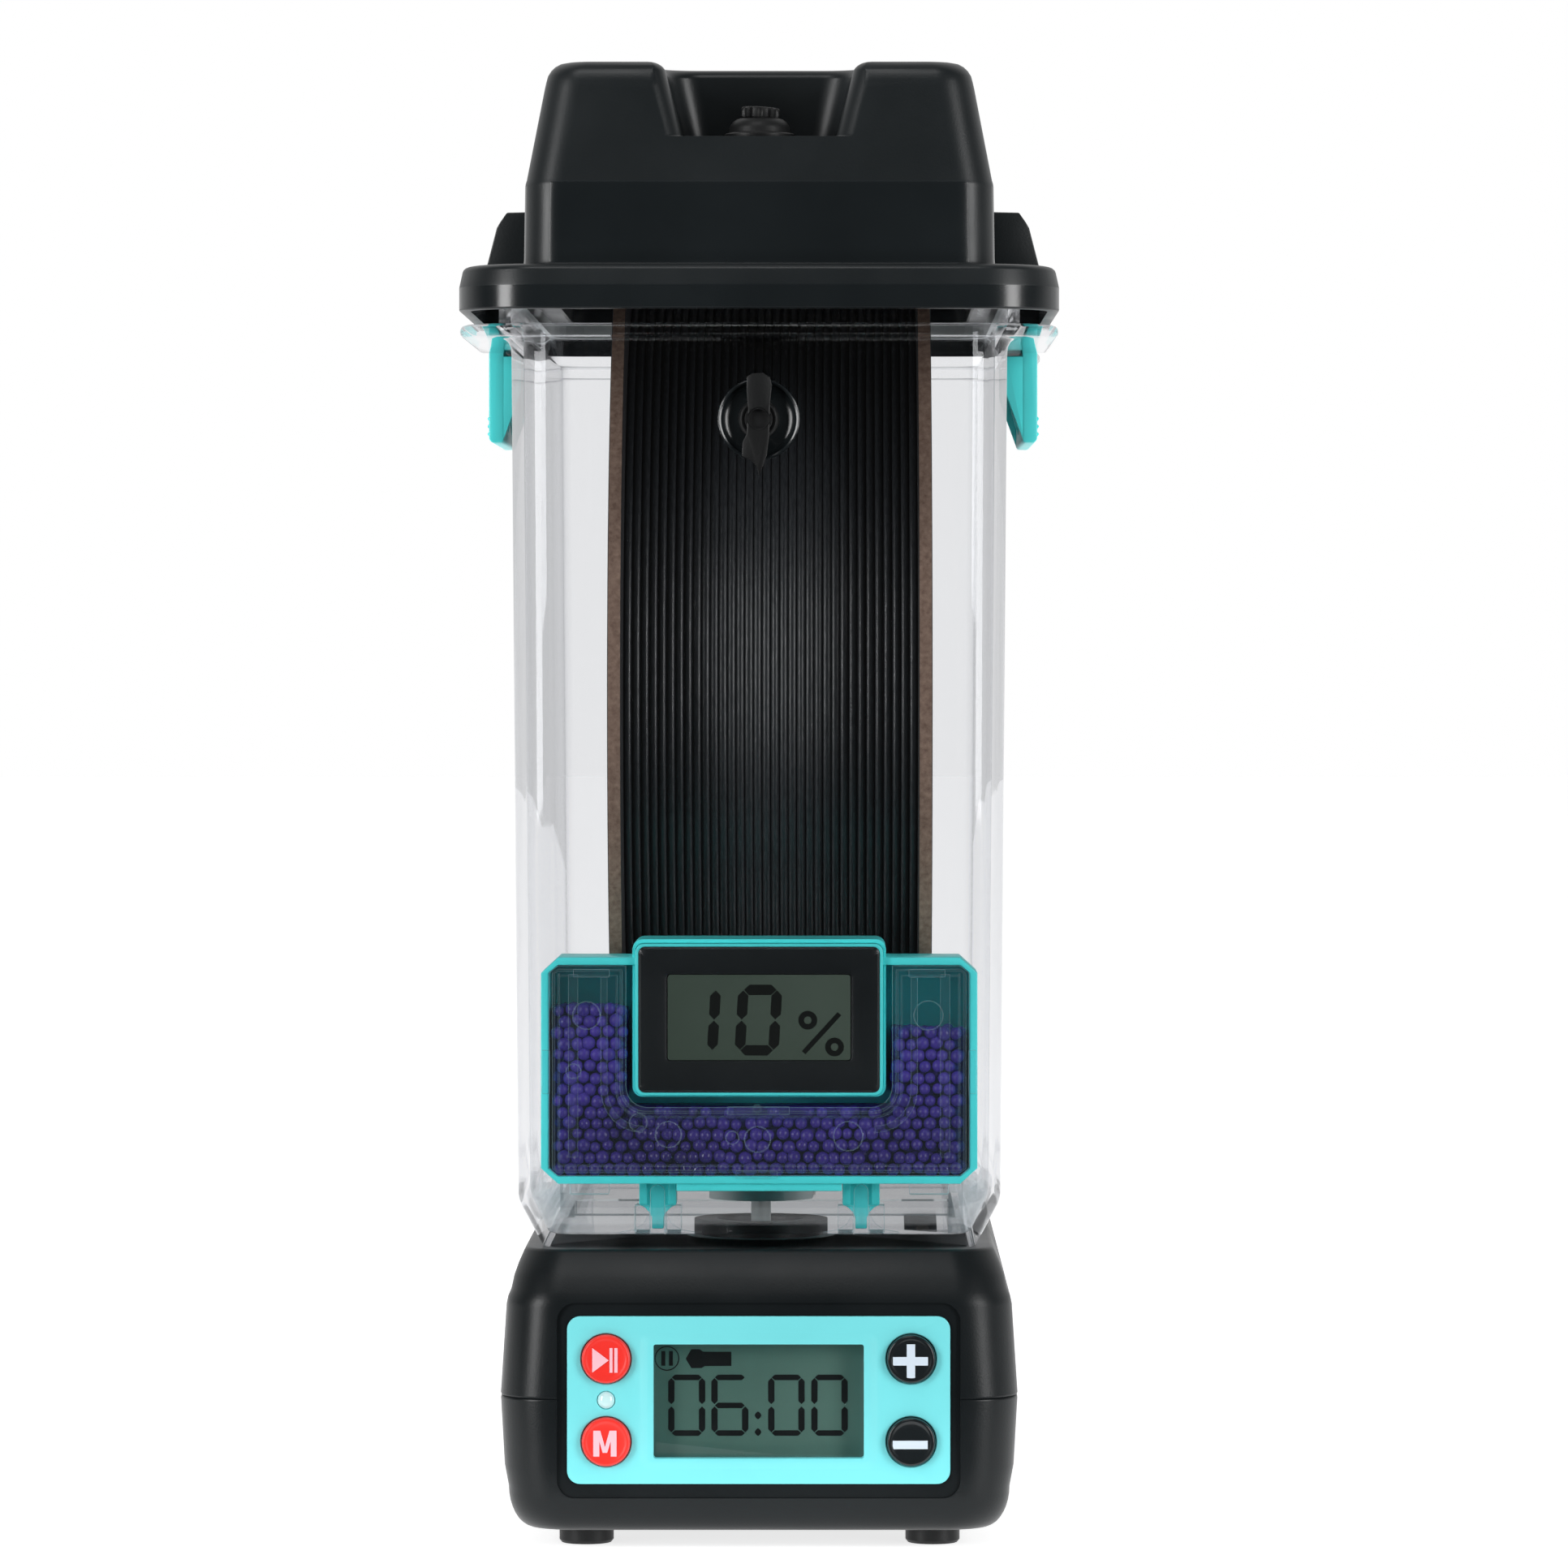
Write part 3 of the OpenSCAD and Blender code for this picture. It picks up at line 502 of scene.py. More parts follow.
block = loft("block", [recess(276.7, 2.3), recess(300, 2.3)])
void = boolean(void, block)
lid = boolean(lid, void)
rings = [recess(279, -0.35), recess(279.1, -0.12), recess(279.4, 0)] + [recess(z, 0) for z in (284, 289, 292.3)]
for z in (292.7, 293.1, 293.45, 293.75, 293.98, 294.12, 294.2):
    rings.append(recess(z, 2.7 * (1 - math.sqrt(max(0.0, 1 - ((z - 292.3) / 1.9) ** 2)))))
rings.append([(x, y, 300) for x, y, z in rings[-1]])
cutter = loft("recess_cut", rings)
lid = boolean(lid, cutter)
round_edges(lid, 0.3, 2, 52)
shade(lid, 35)
me = lid.data
me.materials.clear()
me.materials.append(M["black"])
me.materials.append(M["black_gloss"])
for p in me.polygons:
    c, n = p.center / S, p.normal
    side = abs(n.z) < 0.25
    outer = abs(c.x) > 46.2 or abs(c.y) > 110.8
    p.material_index = 1 if side and outer and (253.7 < c.z < 269.6 or 244.4 < c.z < 249.0) else 0
wn = lid.modifiers.new("even", "WEIGHTED_NORMAL")
wn.keep_sharp = True
wn.weight = 90
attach(lid, "lid")

EAR = [(45.2, 252.6), (58.5, 252.6), (55.3, 265.0), (54.6, 266.2), (53.2, 268.2), (45.2, 268.4)]
ears = []
for sx in (-1, 1):
    for y in (-33.6, 30.0):
        pts = [(sx * x, z) for x, z in EAR]
        e = prism("ear", pts if sx > 0 else pts[::-1], "xz", y, y + 3.6, 0.28, 2)
        ears.append(e)
ears = join("latch_ears", ears)
dress(ears, "black", "lid")
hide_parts("lid_shell")

# port grommet and fluted plug, tipped a little as on the photographed box
g = lathe("port_grommet_ring", [(1.95, 274.8), (6.2, 274.8), (6.5, 275.1), (6.5, 276.5), (5.0, 276.7), (5.0, 278.9), (6.9, 279.0), (7.05, 279.2), (7.05, 280.0),
                                (6.8, 280.25), (6.2, 280.35), (6.1, 280.6), (6.05, 281.3), (5.8, 282.0), (5.3, 282.6), (4.6, 283.1), (3.9, 283.3), (1.95, 283.3)],
          (0, -97, 0), (0, 0, 1), 64)
dress(g, "black_soft", "lid", "port_grommet")


def fluted(name, r0, r1, z0, z1, n, origin, tilt=0.0):
    seg = n * 8
    prof = [(0.96, 0), (1.0, 0.12), (1.0, 0.82), (0.93, 0.96), (0.82, 1.0)]
    rings = []
    for k, h in prof:
        ring = []
        for i in range(seg):
            t = 2 * math.pi * i / seg
            c = math.cos(n * t)
            rad = (r1 - (r1 - r0) * max(0.0, c) ** 2) * k
            ring.append((rad * math.cos(t), rad * math.sin(t), z0 + (z1 - z0) * h))
        rings.append(ring)
    inner = [[(x * 0.6, y * 0.6, z1) for x, y, z in rings[-1]], [(x * 0.55, y * 0.55, z1 - 0.5) for x, y, z in rings[-1]]]
    ob = loft(name, rings + inner)
    m = Matrix.Rotation(math.radians(tilt), 4, "Y")
    ob.data.transform(m)
    ob.data.transform(Matrix.Translation(Vector(origin) * S))
    return ob


cap = fluted("cap", 3.45, 3.9, 0, 2.15, 12, (0.1, -97, 283.35), 3.0)
shank = lathe("shank", [(0, 272.5), (1.5, 272.5), (1.82, 272.9), (1.85, 283.6), (0, 283.7)], (0, -97, 0), (0, 0, 1), 40)
plug = join("port_stopper", [cap, shank])
dress(plug, "black_soft", "port_plug", "port_plug")

node_look("lid_gasket", "seal")
node_look("latch_pin_left", "steel")
node_look("latch_pin_right", "steel")

# ------------------------------------------------------------------ latches
def latch(s, name):
    arc = [(52.4 + 3.0 * math.cos(math.radians(t)), 264.2 + 3.0 * math.sin(math.radians(t))) for t in range(-10, 229, 14)]
    pts = [(54.0, 221.0), (54.4, 220.55), (56.2, 220.5), (56.75, 220.75), (57.05, 221.3), (57.1, 221.9), (57.1, 256.2), (57.05, 256.9)] + arc + [(53.9, 257.6), (54.0, 256.9)]
    pts = [(s * x, z) for x, z in pts]
    if s < 0:
        pts.reverse()
    body = prism("b", pts, "xz", -29.5, 29.5, 0.3, 2, 35)
    hole = lathe("h", [(0, -40), (1.32, -40), (1.32, 40), (0, 40)], (s * 52.4, 0, 264.2), (0, 1, 0), 24)
    boolean(body, hole)
    parts = [body]

    def add(p, y0, y1, bev=0.2):
        q = [(s * x, z) for x, z in p]
        if s < 0:
            q.reverse()
        parts.append(prism("p", q, "xz", y0, y1, bev, 2))
    add([(54.6, 231.6), (50.9, 237.0), (50.6, 237.6), (50.6, 238.9), (54.6, 238.9)], -22, 22, 0.2)
    for y in (-29.4, 27.4):
        add([(54.5, 220.95), (54.1, 221.0), (50.5, 230.9), (50.35, 231.8), (50.35, 238.1), (50.7, 238.5), (54.5, 238.5)], y, y + 2, 0.22)
    for y in (-9.5, 7.5):
        add([(54.6, 223.0), (54.0, 223.0), (52.6, 228), (52.6, 234), (54.6, 234)], y, y + 2, 0.22)
    for i in range(3):
        z = 221.9 + i * 1.6
        add([(56.8, z), (57.3, z + 0.12), (57.5, z + 0.4), (57.5, z + 0.6), (57.3, z + 0.88), (56.8, z + 1.0)], -26.5, 26.5, 0.07)
    ob = join(name, parts)
    return ob


dress(latch(-1, "side_latch_left"), "teal", "latch_left", "latch_left")
dress(latch(1, "side_latch_right"), "teal", "latch_right", "latch_right")

# ------------------------------------------------------------------ tub
TUB = [(41.6, 106.9, 4.6, 59.0), (42.6, 107.9, 5.4, 59.05), (43.1, 108.4, 5.9, 59.4), (47.3, 112.1, 8.2, 67.5), (47.65, 112.45, 8.4, 68.4), (47.85, 112.65, 8.5, 69.6),
       (49.15, 113.95, 9.35, 235.5), (49.3, 114.1, 9.5, 237.3), (49.8, 114.6, 9.9, 238.4), (50.6, 115.4, 10.7, 238.95), (51.6, 116.4, 11.4, 239.1),
       (58.2, 122.8, 15.3, 239.1), (58.8, 123.4, 15.9, 239.3), (59.12, 123.72, 16.2, 239.75), (59.2, 123.8, 16.3, 240.3), (59.12, 123.72, 16.2, 240.85),
       (58.8, 123.4, 15.9, 241.3), (58.2, 122.8, 15.3, 241.5), (52.4, 117.2, 12.7, 241.5), (51.9, 116.7, 12.2, 241.75), (51.7, 116.5, 12, 242.3),
       (51.7, 116.5, 12, 247.3), (51.5, 116.3, 11.8, 247.8), (51.0, 115.8, 11.3, 248.0), (50.1, 114.9, 10.4, 248.0), (49.5, 114.3, 9.8, 247.8), (49.3, 114.1, 9.6, 247.3),
       (49.3, 114.1, 9.6, 242.2), (49.0, 113.8, 9.3, 241.75), (48.4, 113.2, 8.6, 241.5), (47.5, 112.3, 7.7, 241.4), (46.95, 111.75, 7.1, 241.0), (46.8, 111.6, 7, 240.2),
       (45.45, 110.25, 6.2, 70.6), (45.2, 110.0, 6.0, 69.2), (44.8, 109.7, 5.8, 68.3), (42.4, 107.7, 5.0, 63.1), (41.9, 107.2, 4.7, 62.1), (41.0, 106.3, 4.2, 61.6), (39.6, 105, 3.6, 61.5)]
tub = loft("clear_tub", [rr(a, b, r, z, 10, 53.5, 30.5) for a, b, r, z in TUB], 50)
dress(tub, "clear", "tub", "tub_shell")
bits = []
for s in (-1, 1):
    x = s * 20.2
    for dx in (-3.1, 3.1):
        bits.append(rbox("w", (x + dx - 1.55, -103, 61.5), (x + dx + 1.55, -93, 67.0), 0.3))
    post = [(x - 1.45, 61.5), (x + 1.45, 61.5)] + [(x + 1.45 * math.cos(math.radians(t)), 69.9 + 1.45 * math.sin(math.radians(t))) for t in range(0, 181, 20)]
    bits.append(prism("w", post, "xz", -105.2, -103.4, 0.25, 2))
    for k in (-1, 1):
        wing = [(x + k * 1.5, 61.5), (x + k * 7.5, 61.5), (x + k * 7.5, 61.9), (x + k * 4.6, 62.4), (x + k * 2.8, 63.6), (x + k * 1.9, 65.4), (x + k * 1.5, 67.2)]
        bits.append(prism("w", wing if k > 0 else wing[::-1], "xz", -105.0, -103.6, 0.15, 1))
bits.append(rbox("w", (-1.25, -114.25, 228.9), (-1.0, -113.8, 231.6), 0.06, 1))
dress(join("tub_floor_posts", bits), "clear_cover", "tub")

OZ = 222.8
cup = lathe("outlet_cup", [(1.95, 110.0), (6.1, 110.0), (6.5, 110.3), (6.5, 111.1), (5.0, 111.25), (5.0, 113.7), (7.7, 113.75), (8.1, 114.1), (8.15, 115.6), (8.0, 116.05),
                           (7.75, 116.2), (7.45, 116.05), (7.3, 115.7), (6.4, 115.15), (5.0, 114.75), (4.5, 114.7), (1.95, 114.7)], (0, 0, OZ), (0, -1, 0), 72)
dress(cup, "black_gloss", "tub", "outlet_grommet")
knob = lathe("k", [(0, 109.5), (1.55, 109.5), (1.82, 109.9), (1.85, 114.85), (3.7, 114.95), (4.0, 115.3), (4.05, 116.5), (3.85, 117.05), (3.4, 117.35), (3.0, 117.3), (2.75, 117.05), (2.5, 116.95), (0, 116.95)],
             (0, 0, OZ), (0, -1, 0), 48)
strap_pts = [(-2.3, 8.4), (-1.2, 9.0), (0.9, 9.1), (2.3, 8.2), (2.6, 6.6), (2.3, 3.2), (2.1, -3.6), (1.6, -7.2), (0.9, -9.2), (0.1, -11.3), (-0.4, -9.4), (-1.4, -8.2), (-3.3, -7.4), (-3.2, -4.6), (-2.4, -3.0), (-2.1, 2.0), (-2.4, 5.6)]
strap = ring_prism("s", arc2(2.75, 2.75, 2.7, 0, OZ, 8), arc2(1.9, 1.9, 1.85, 0, OZ, 8), "xz", -118.0, -117.2, 0.15, 1)
tongue = prism("t", [(x, OZ + z) for x, z in reversed(strap_pts) if z > 2.5 or True], "xz", -118.3, -117.4, 0.25, 2)
hole = lathe("h", [(0, 110), (2.3, 110), (2.3, 125), (0, 125)], (0, 0, OZ), (0, -1, 0), 32)
boolean(tongue, hole)
pl = join("outlet_stopper", [knob, strap, tongue])
dress(pl, "black_soft", "front_plug", "front_plug")

node_look("roller_cradle", "clear_cover")
for n in ("inlet_valve_seat", "outlet_valve_seat"):
    node_look(n, "dark", 0.2)
for n in ("front_rollers", "rear_rollers"):
    node_look(n, "dark", 0.4)
for n in ("front_roller_shaft", "rear_roller_shaft"):
    node_look(n, "steel", 0.3)
for n in ("inlet_valve", "outlet_valve"):
    node_look(n, "seal", 0.3)

# ------------------------------------------------------------------ spool
SX, SY, SZ = 2.0, 4.0, 167.8
for side, x0, x1 in (("left", -32.5, -29.75), ("right", 29.75, 32.5)):
    prof = [(26.8, x0), (99.75, x0), (99.95, x0 + 0.15), (100, x0 + 0.45), (100, x1 - 0.45), (99.95, x1 - 0.15), (99.75, x1), (26.8, x1), (26.5, x1 - 0.3), (26.5, x0 + 0.3)]
    f = lathe("spool_disc_" + side, prof, (SX, SY, SZ), (1, 0, 0), 180, 30)
    dress(f, "card", "spool", "spool_flange_" + side)
node_look("spool_core", "card")

turns = 34
pitch = 59.5 / turns
jit = [rnd.uniform(-0.10, 0.10) for _ in range(turns)]
seg = 220
verts, faces = [], []
prof = []
for k in range(turns):
    for u in (-1.0, -0.86, -0.6, -0.25, 0.25, 0.6, 0.86):
        prof.append((k, u))
prof.append((turns - 1, 1.0))
wob = [rnd.uniform(0, 6.28) for _ in range(turns)]
for i in range(seg):
    t = 2 * math.pi * i / seg
    for k, u in prof:
        x = SX - 29.75 + pitch * (k + 0.5 + 0.5 * u)
        rad = 83.0 + 0.82 * math.sqrt(max(0.0, 1 - u * u)) + (jit[k] + 0.06 * math.sin(2 * t + wob[k])) * (1 - u * u)
        verts.append((x, SY + rad * math.cos(t), SZ + rad * math.sin(t)))
    for x in (SX + 29.75, SX - 29.75):
        verts.append((x, SY + 38 * math.cos(t), SZ + 38 * math.sin(t)))
n = len(prof) + 2
for i in range(seg):
    j = (i + 1) % seg
    for k in range(n):
        l = (k + 1) % n
        faces.append((i * n + k, i * n + l, j * n + l, j * n + k))
wind = new_obj("wound_filament", verts, faces, 60)
dress(wind, "filament", "spool", "filament_winding")

# ------------------------------------------------------------------ cassette
C0, C1, Z0, Z1 = -43.2, 43.2, 71.7, 116.5


def coct(d):
    return [(C0 + 3.4, Z0 + d), (C1 - 3.4, Z0 + d), (C1 - d, Z0 + 3.1), (C1 - d, Z1 - 3.1), (C1 - 3.4, Z1 - d), (C0 + 3.4, Z1 - d), (C0 + d, Z1 - 3.1), (C0 + d, Z0 + 3.1)]


parts = [ring_prism("r", coct(0), coct(1.5), "xz", -108.2, -88.4, 0.25, 2), prism("b", coct(0.05), "xz", -88.6, -87.0, 0.3, 2)]
for s in (-1, 1):
    x = s * 20.2
    arm = [(x - 1.15, 62.4), (x + 1.15, 62.4), (x + 1.15, 64.6), (x + 1.6, 65.6), (x + 2.6, 66.6), (x + 3.7, 67.2), (x + 3.7, 72.2), (x - 3.7, 72.2), (x - 3.7, 67.2), (x - 2.6, 66.6), (x - 1.6, 65.6), (x - 1.15, 64.6)]
    parts.append(prism("l", arm, "xz", -102.4, -94, 0.2, 2))
    for k in (-1, 1):
        parts.append(rbox("l", (x + k * 2.9 - 0.75, -103.2, 67.3), (x + k * 2.9 + 0.75, -102.0, 72.0), 0.15))
parts.append(rbox("l", (-16.4, -107.4, 70.2), (16.4, -99, 71.9), 0.25))
parts.append(ring_prism("u", arc2(25.1, 15.6, 2.0, 0, 104.5, 5), arc2(24.55, 15.1, 1.75, 0, 104.25, 5), "xz", -107.3, -88.6, 0.1, 1))
tray = join("desiccant_tray", parts)
dress(tray, "teal", "cassette", "cassette_tray")


def upath(d, z_top, rin=4.0, n=6):
    """inner U outline round the gauge at distance d, open at the top, left to right"""
    a, zb = 26.1 + d, 87.1 - d
    r = rin + d * 0.6
    pts = [(-a, z_top)]
    for i in range(n + 1):
        t = math.radians(180 + 90 * i / n)
        pts.append((-a + r + r * math.cos(t), zb + r + r * math.sin(t)))
    for i in range(n + 1):
        t = math.radians(270 + 90 * i / n)
        pts.append((a - r + r * math.cos(t), zb + r + r * math.sin(t)))
    pts.append((a, z_top))
    return pts


def ubody(d_out, d_in):
    """closed U outline: outside is the tray's octagon inset by d_out, inside is the gauge's U at d_in"""
    zt = Z1 - d_out
    out = [(-(26.1 + d_in), zt), (C0 + 3.4, zt), (C0 + d_out, Z1 - 3.1), (C0 + d_out, Z0 + 3.1), (C0 + 3.4, Z0 + d_out), (C1 - 3.4, Z0 + d_out), (C1 - d_out, Z0 + 3.1), (C1 - d_out, Z1 - 3.1), (C1 - 3.4, zt), (26.1 + d_in, zt)]
    inn = upath(d_in, zt)
    return out + list(reversed(inn[1:-1]))


cov = [prism("c", ubody(1.6, 0.25), "xz", -108.5, -107.5, 0.2, 2)]


def path_rib(pts, w, y0, y1, closed=False):
    """thin raised rib that follows a polyline"""
    n = len(pts)
    left, right = [], []
    for i, p in enumerate(pts):
        a = pts[i - 1] if (i > 0 or closed) else p
        b = pts[(i + 1) % n] if (i < n - 1 or closed) else p
        dx, dz = b[0] - a[0], b[1] - a[1]
        l = math.hypot(dx, dz) or 1
        nx, nz = -dz / l, dx / l
        left.append((p[0] + nx * w / 2, p[1] + nz * w / 2))
        right.append((p[0] - nx * w / 2, p[1] - nz * w / 2))
    if closed:
        return ring_prism("rib", left, right, "xz", y0, y1, min(0.12, w / 4), 2)
    return prism("rib", left + right[::-1], "xz", y0, y1, min(0.12, w / 4), 2)


cov.append(path_rib(ubody(2.5, 1.2), 0.5, -108.95, -108.3, True))
cov.append(path_rib(ubody(3.6, 2.1), 0.35, -108.75, -108.3, True))
cov.append(path_rib([(C0 + 6.4, 113.2), (C0 + 6.4, 77.0)], 1.9, -108.8, -108.2))
cov.append(path_rib([(C1 - 6.4, 113.2), (C1 - 6.4, 77.0)], 1.9, -108.8, -108.2))
cov.append(path_rib(upath(4.6, 112.6, 5.0)[:8], 1.3, -108.85, -108.2))
cov.append(path_rib(upath(4.6, 112.6, 5.0)[-8:], 1.3, -108.85, -108.2))
for s in (-1, 1):
    cov.append(rbox("c", (s * 33.2 - 3.6, -108.9, 112.6), (s * 33.2 + 3.6, -107.6, 114.2), 0.2))
    cov.append(rbox("c", (s * 42.2 - 0.8, -108.9, 89.6), (s * 42.2 + 0.8, -107.4, 98.2), 0.2))
    cov.append(rbox("c", (s * 33.6 - 3.9, -107.9, 69.5), (s * 33.6 + 3.9, -104.4, 71.9), 0.35))
cov.append(rbox("c", (-4.6, -108.9, 72.9), (3.6, -107.6, 74.3), 0.15))
cov.append(rbox("c", (-6.2, -108.9, 85.4), (6.0, -107.6, 87.0), 0.15))
cov.append(lathe("c", [(0, 107.6), (0.85, 107.6), (0.85, 108.9), (0.6, 109.15), (0, 109.2)], (-0.4, 0, 86.6), (0, -1, 0), 20))
for px, py, pr in ((931, 1405, 16), (821, 1399, 16), (1043, 1401, 18), (900, 1403, 8), (784, 1384, 11), (704, 1321, 9), (1142, 1252, 18), (720, 1252, 17)):
    x, z, r = (px - 933) * 0.1603, 177.5 + (800 - py) * 0.1603, pr * 0.1603
    cov.append(lathe("c", [(r - 0.11, 108.45), (r - 0.04, 108.62), (r + 0.04, 108.62), (r + 0.11, 108.45)], (x, 0, z), (0, -1, 0), 32))
cover = join("desiccant_cover", cov)
dress(cover, "clear_cover", "cassette", "cassette_cover")

# beads: spheres packed behind the cover, filled to a sloping level
def icosphere():
    bm = bmesh.new()
    bmesh.ops.create_icosphere(bm, subdivisions=2, radius=1.0)
    v = [tuple(p.co) for p in bm.verts]
    f = [tuple(p.index for p in q.verts) for q in bm.faces]
    bm.free()
    return v, f


iv, ifc = icosphere()
verts, faces = [], []
for layer in range(3):
    y = -105.9 + layer * 2.0
    row = 0
    z = 74.6
    while z < 109:
        x = -40.0 + (1.25 if row % 2 else 0) + layer * 0.6
        while x < 40.2:
            r = rnd.uniform(1.08, 1.5)
            bx, bz = x + rnd.uniform(-0.3, 0.3), z + rnd.uniform(-0.3, 0.3)
            level = 107.4 - (bx + 40) / 80 * 5.2 + rnd.uniform(-0.5, 0.5)
            inside_gauge = abs(bx) < 25.7 + r and bz > 87.0 - r
            corner = abs(bx) > 41.4 - r
            if not inside_gauge and not corner and bz < level:
                o = len(verts)
                yy = y + rnd.uniform(-0.3, 0.3)
                verts += [(bx + r * p[0], yy + r * p[1], bz + r * p[2]) for p in iv]
                faces += [tuple(q + o for q in f) for f in ifc]
            x += 2.55
        z += 2.25
        row += 1
beads = new_obj("bead_fill", verts, faces, 80)
dress(beads, "beads", "cassette")
core = prism("bead_core", [(-41.2, 73.9), (41.2, 73.9), (41.2, 101.6), (26.2, 102.4), (26.2, 86.6), (-26.2, 86.6), (-26.2, 106.0), (-41.2, 106.6)], "xz", -101.6, -88.7, 0.6, 2)
dress(core, "beads", "cassette", "desiccant_beads")

# gauge
gz = 104.25
gf = ring_prism("gauge_surround", arc2(24.5, 15.0, 1.7, 0, gz, 6), arc2(23.85, 14.4, 1.3, 0, gz, 6), "xz", -109.4, -96.6, 0.2, 2)
dress(gf, "teal", "cassette", "hygrometer_frame")
gb = loft("gauge_bezel", [[(x, y, z) for x, z in o] for y, o in (
    (-98.3, arc2(22.9, 13.5, 0.8, 0, gz, 6)), (-109.1, arc2(23.8, 14.35, 1.2, 0, gz, 6)), (-109.4, arc2(23.8, 14.35, 1.2, 0, gz, 6)), (-109.7, arc2(23.4, 13.95, 1.0, 0, gz, 6)),
    (-109.8, arc2(22.4, 12.95, 0.8, 0, gz, 6)), (-109.8, arc2(18.9, 9.1, 1.0, 0, 104.7, 6)), (-109.6, arc2(18.3, 8.6, 0.8, 0, 104.7, 6)), (-109.0, arc2(18.15, 8.5, 0.6, 0, 104.7, 6)))], 30)
dress(gb, "black", "cassette", "hygrometer_bezel")
gl = prism("gauge_display", arc2(18.1, 8.45, 0.6, 0, 104.7, 6), "xz", -109.45, -107.6, 0.05, 1)
dress(gl, "gauge_lcd", "cassette", "hygrometer_lcd")


def seven(ch, x, z, w, h, t, slant=0.08, gap=0.12):
    """hexagonal bars of a seven-segment digit with its lower left corner at x, z"""
    on = {"0": "abcdef", "1": "bc", "6": "acdefg"}[ch]
    m = h / 2
    k = t / 2

    def hbar(y0):
        return [(gap + k, y0), (gap + t, y0 + k), (w - gap - t, y0 + k), (w - gap - k, y0), (w - gap - t, y0 - k), (gap + t, y0 - k)]

    def vbar(x0, a, b):
        return [(x0, a + gap + k), (x0 + k, a + gap + t), (x0 + k, b - gap - t), (x0, b - gap - k), (x0 - k, b - gap - t), (x0 - k, a + gap + t)]
    seg = {"a": hbar(h - k), "g": hbar(m), "d": hbar(k), "f": vbar(k, m - k, h), "b": vbar(w - k, m - k, h), "e": vbar(k, 0, m + k), "c": vbar(w - k, 0, m + k)}
    return [[(x + px + pz * slant, z + pz) for px, pz in seg[c]] for c in on]


def decals(name, polys, y, mat, body, thick=0.05):
    obs = []
    for p in polys:
        area = sum(p[i][0] * p[(i + 1) % len(p)][1] - p[(i + 1) % len(p)][0] * p[i][1] for i in range(len(p)))
        q = p if area > 0 else p[::-1]
        obs.append(prism("d", q, "xz", y - thick, y + 0.02, 0))
    ob = join(name, obs)
    return dress(ob, mat, body)


def ringpoly(cx, cz, r0, r1, n=24):
    """ring as two half outlines"""
    out = []
    for a0 in (0, 180):
        o = [(cx + r1 * math.cos(math.radians(a0 + 180 * i / n)), cz + r1 * math.sin(math.radians(a0 + 180 * i / n))) for i in range(n + 1)]
        q = [(cx + r0 * math.cos(math.radians(a0 + 180 * i / n)), cz + r0 * math.sin(math.radians(a0 + 180 * i / n))) for i in range(n, -1, -1)]
        out.append(o + q)
    return out


def bar(x0, z0, x1, z1, w):
    dx, dz = x1 - x0, z1 - z0
    l = math.hypot(dx, dz)
    nx, nz = -dz / l * w / 2, dx / l * w / 2
    return [(x0 + nx, z0 + nz), (x0 - nx, z0 - nz), (x1 - nx, z1 - nz), (x1 + nx, z1 + nz)]


def gp(px, py):
    return (px - 933) * 0.16046, 177.5 + (800 - py) * 0.16046


polys = []
x, z = gp(872.5, 1300.5)
polys += seven("1", x - 7.0, z, 8.4, 14.0, 2.05, 0.06)
x, z = gp(902.5, 1300.5)
polys += seven("0", x, z, 8.7, 14.0, 2.05, 0.06)
cx, cz = gp(993, 1257)
polys += ringpoly(cx, cz, 0.75, 1.85)
cx, cz = gp(1026, 1290)
polys += ringpoly(cx, cz, 0.75, 1.85)
a = gp(988, 1297)
b = gp(1032, 1249)
polys.append(bar(a[0], a[1], b[0], b[1], 0.95))
decals("gauge_digits", polys, -109.45, "segment_pale", "cassette", 0.04)


# ------------------------------------------------------------------ dock
PZ = 29.8
LOW = []
for i in range(10):
    t = math.radians(10 * i)
    LOW.append((44.5 + 5.1 * math.sin(t), 111.5 + 5.9 * math.sin(t) ** 1.1, 8 + 2.6 * math.sin(t), 3.6 + 8.4 * (1 - math.cos(t))))
LOW += [(50.4, 117.7, 11, 16.2), (51.15, 117.98, 11, 29.5), (51.08, 117.9, 11, 29.82), (50.85, 117.68, 10.8, 30.0)]
lower = loft("dock_base", [rr(a, b, r, z, 9) for a, b, r, z in LOW])
lin = loft("v", [rr(a, b, r, z, 6) for a, b, r, z in ((46.3, 113.2, 7, 6.0), (47.6, 114.8, 8, 8.4), (47.8, 115.0, 8.2, 16), (48.8, 115.8, 9, 17), (48.8, 115.8, 9, 34))])
boolean(lower, lin)
UP = [(50.85, 117.68, 10.8, 30.0), (51.08, 117.9, 11, 30.18), (51.17, 117.98, 11, 30.5), (50.05, 117.55, 11, 48.0), (49.7, 117.25, 10.8, 49.6), (49.1, 116.6, 10.5, 51.0), (48.55, 115.3, 10.2, 53.6),
      (47.7, 113.7, 9.9, 56.0), (46.65, 111.6, 9.2, 58.4), (46.35, 111.15, 9.0, 58.8), (45.8, 110.6, 8.6, 59.0)]
upper = loft("dock_deck", [rr(a, b, r, z, 9) for a, b, r, z in UP])
uin = loft("v", [rr(a, b, r, z, 6) for a, b, r, z in ((48.8, 115.8, 9, 28), (48.8, 115.8, 9, 31), (47.6, 115.2, 9, 50), (44.4, 110, 8, 56.6))])
boolean(upper, uin)
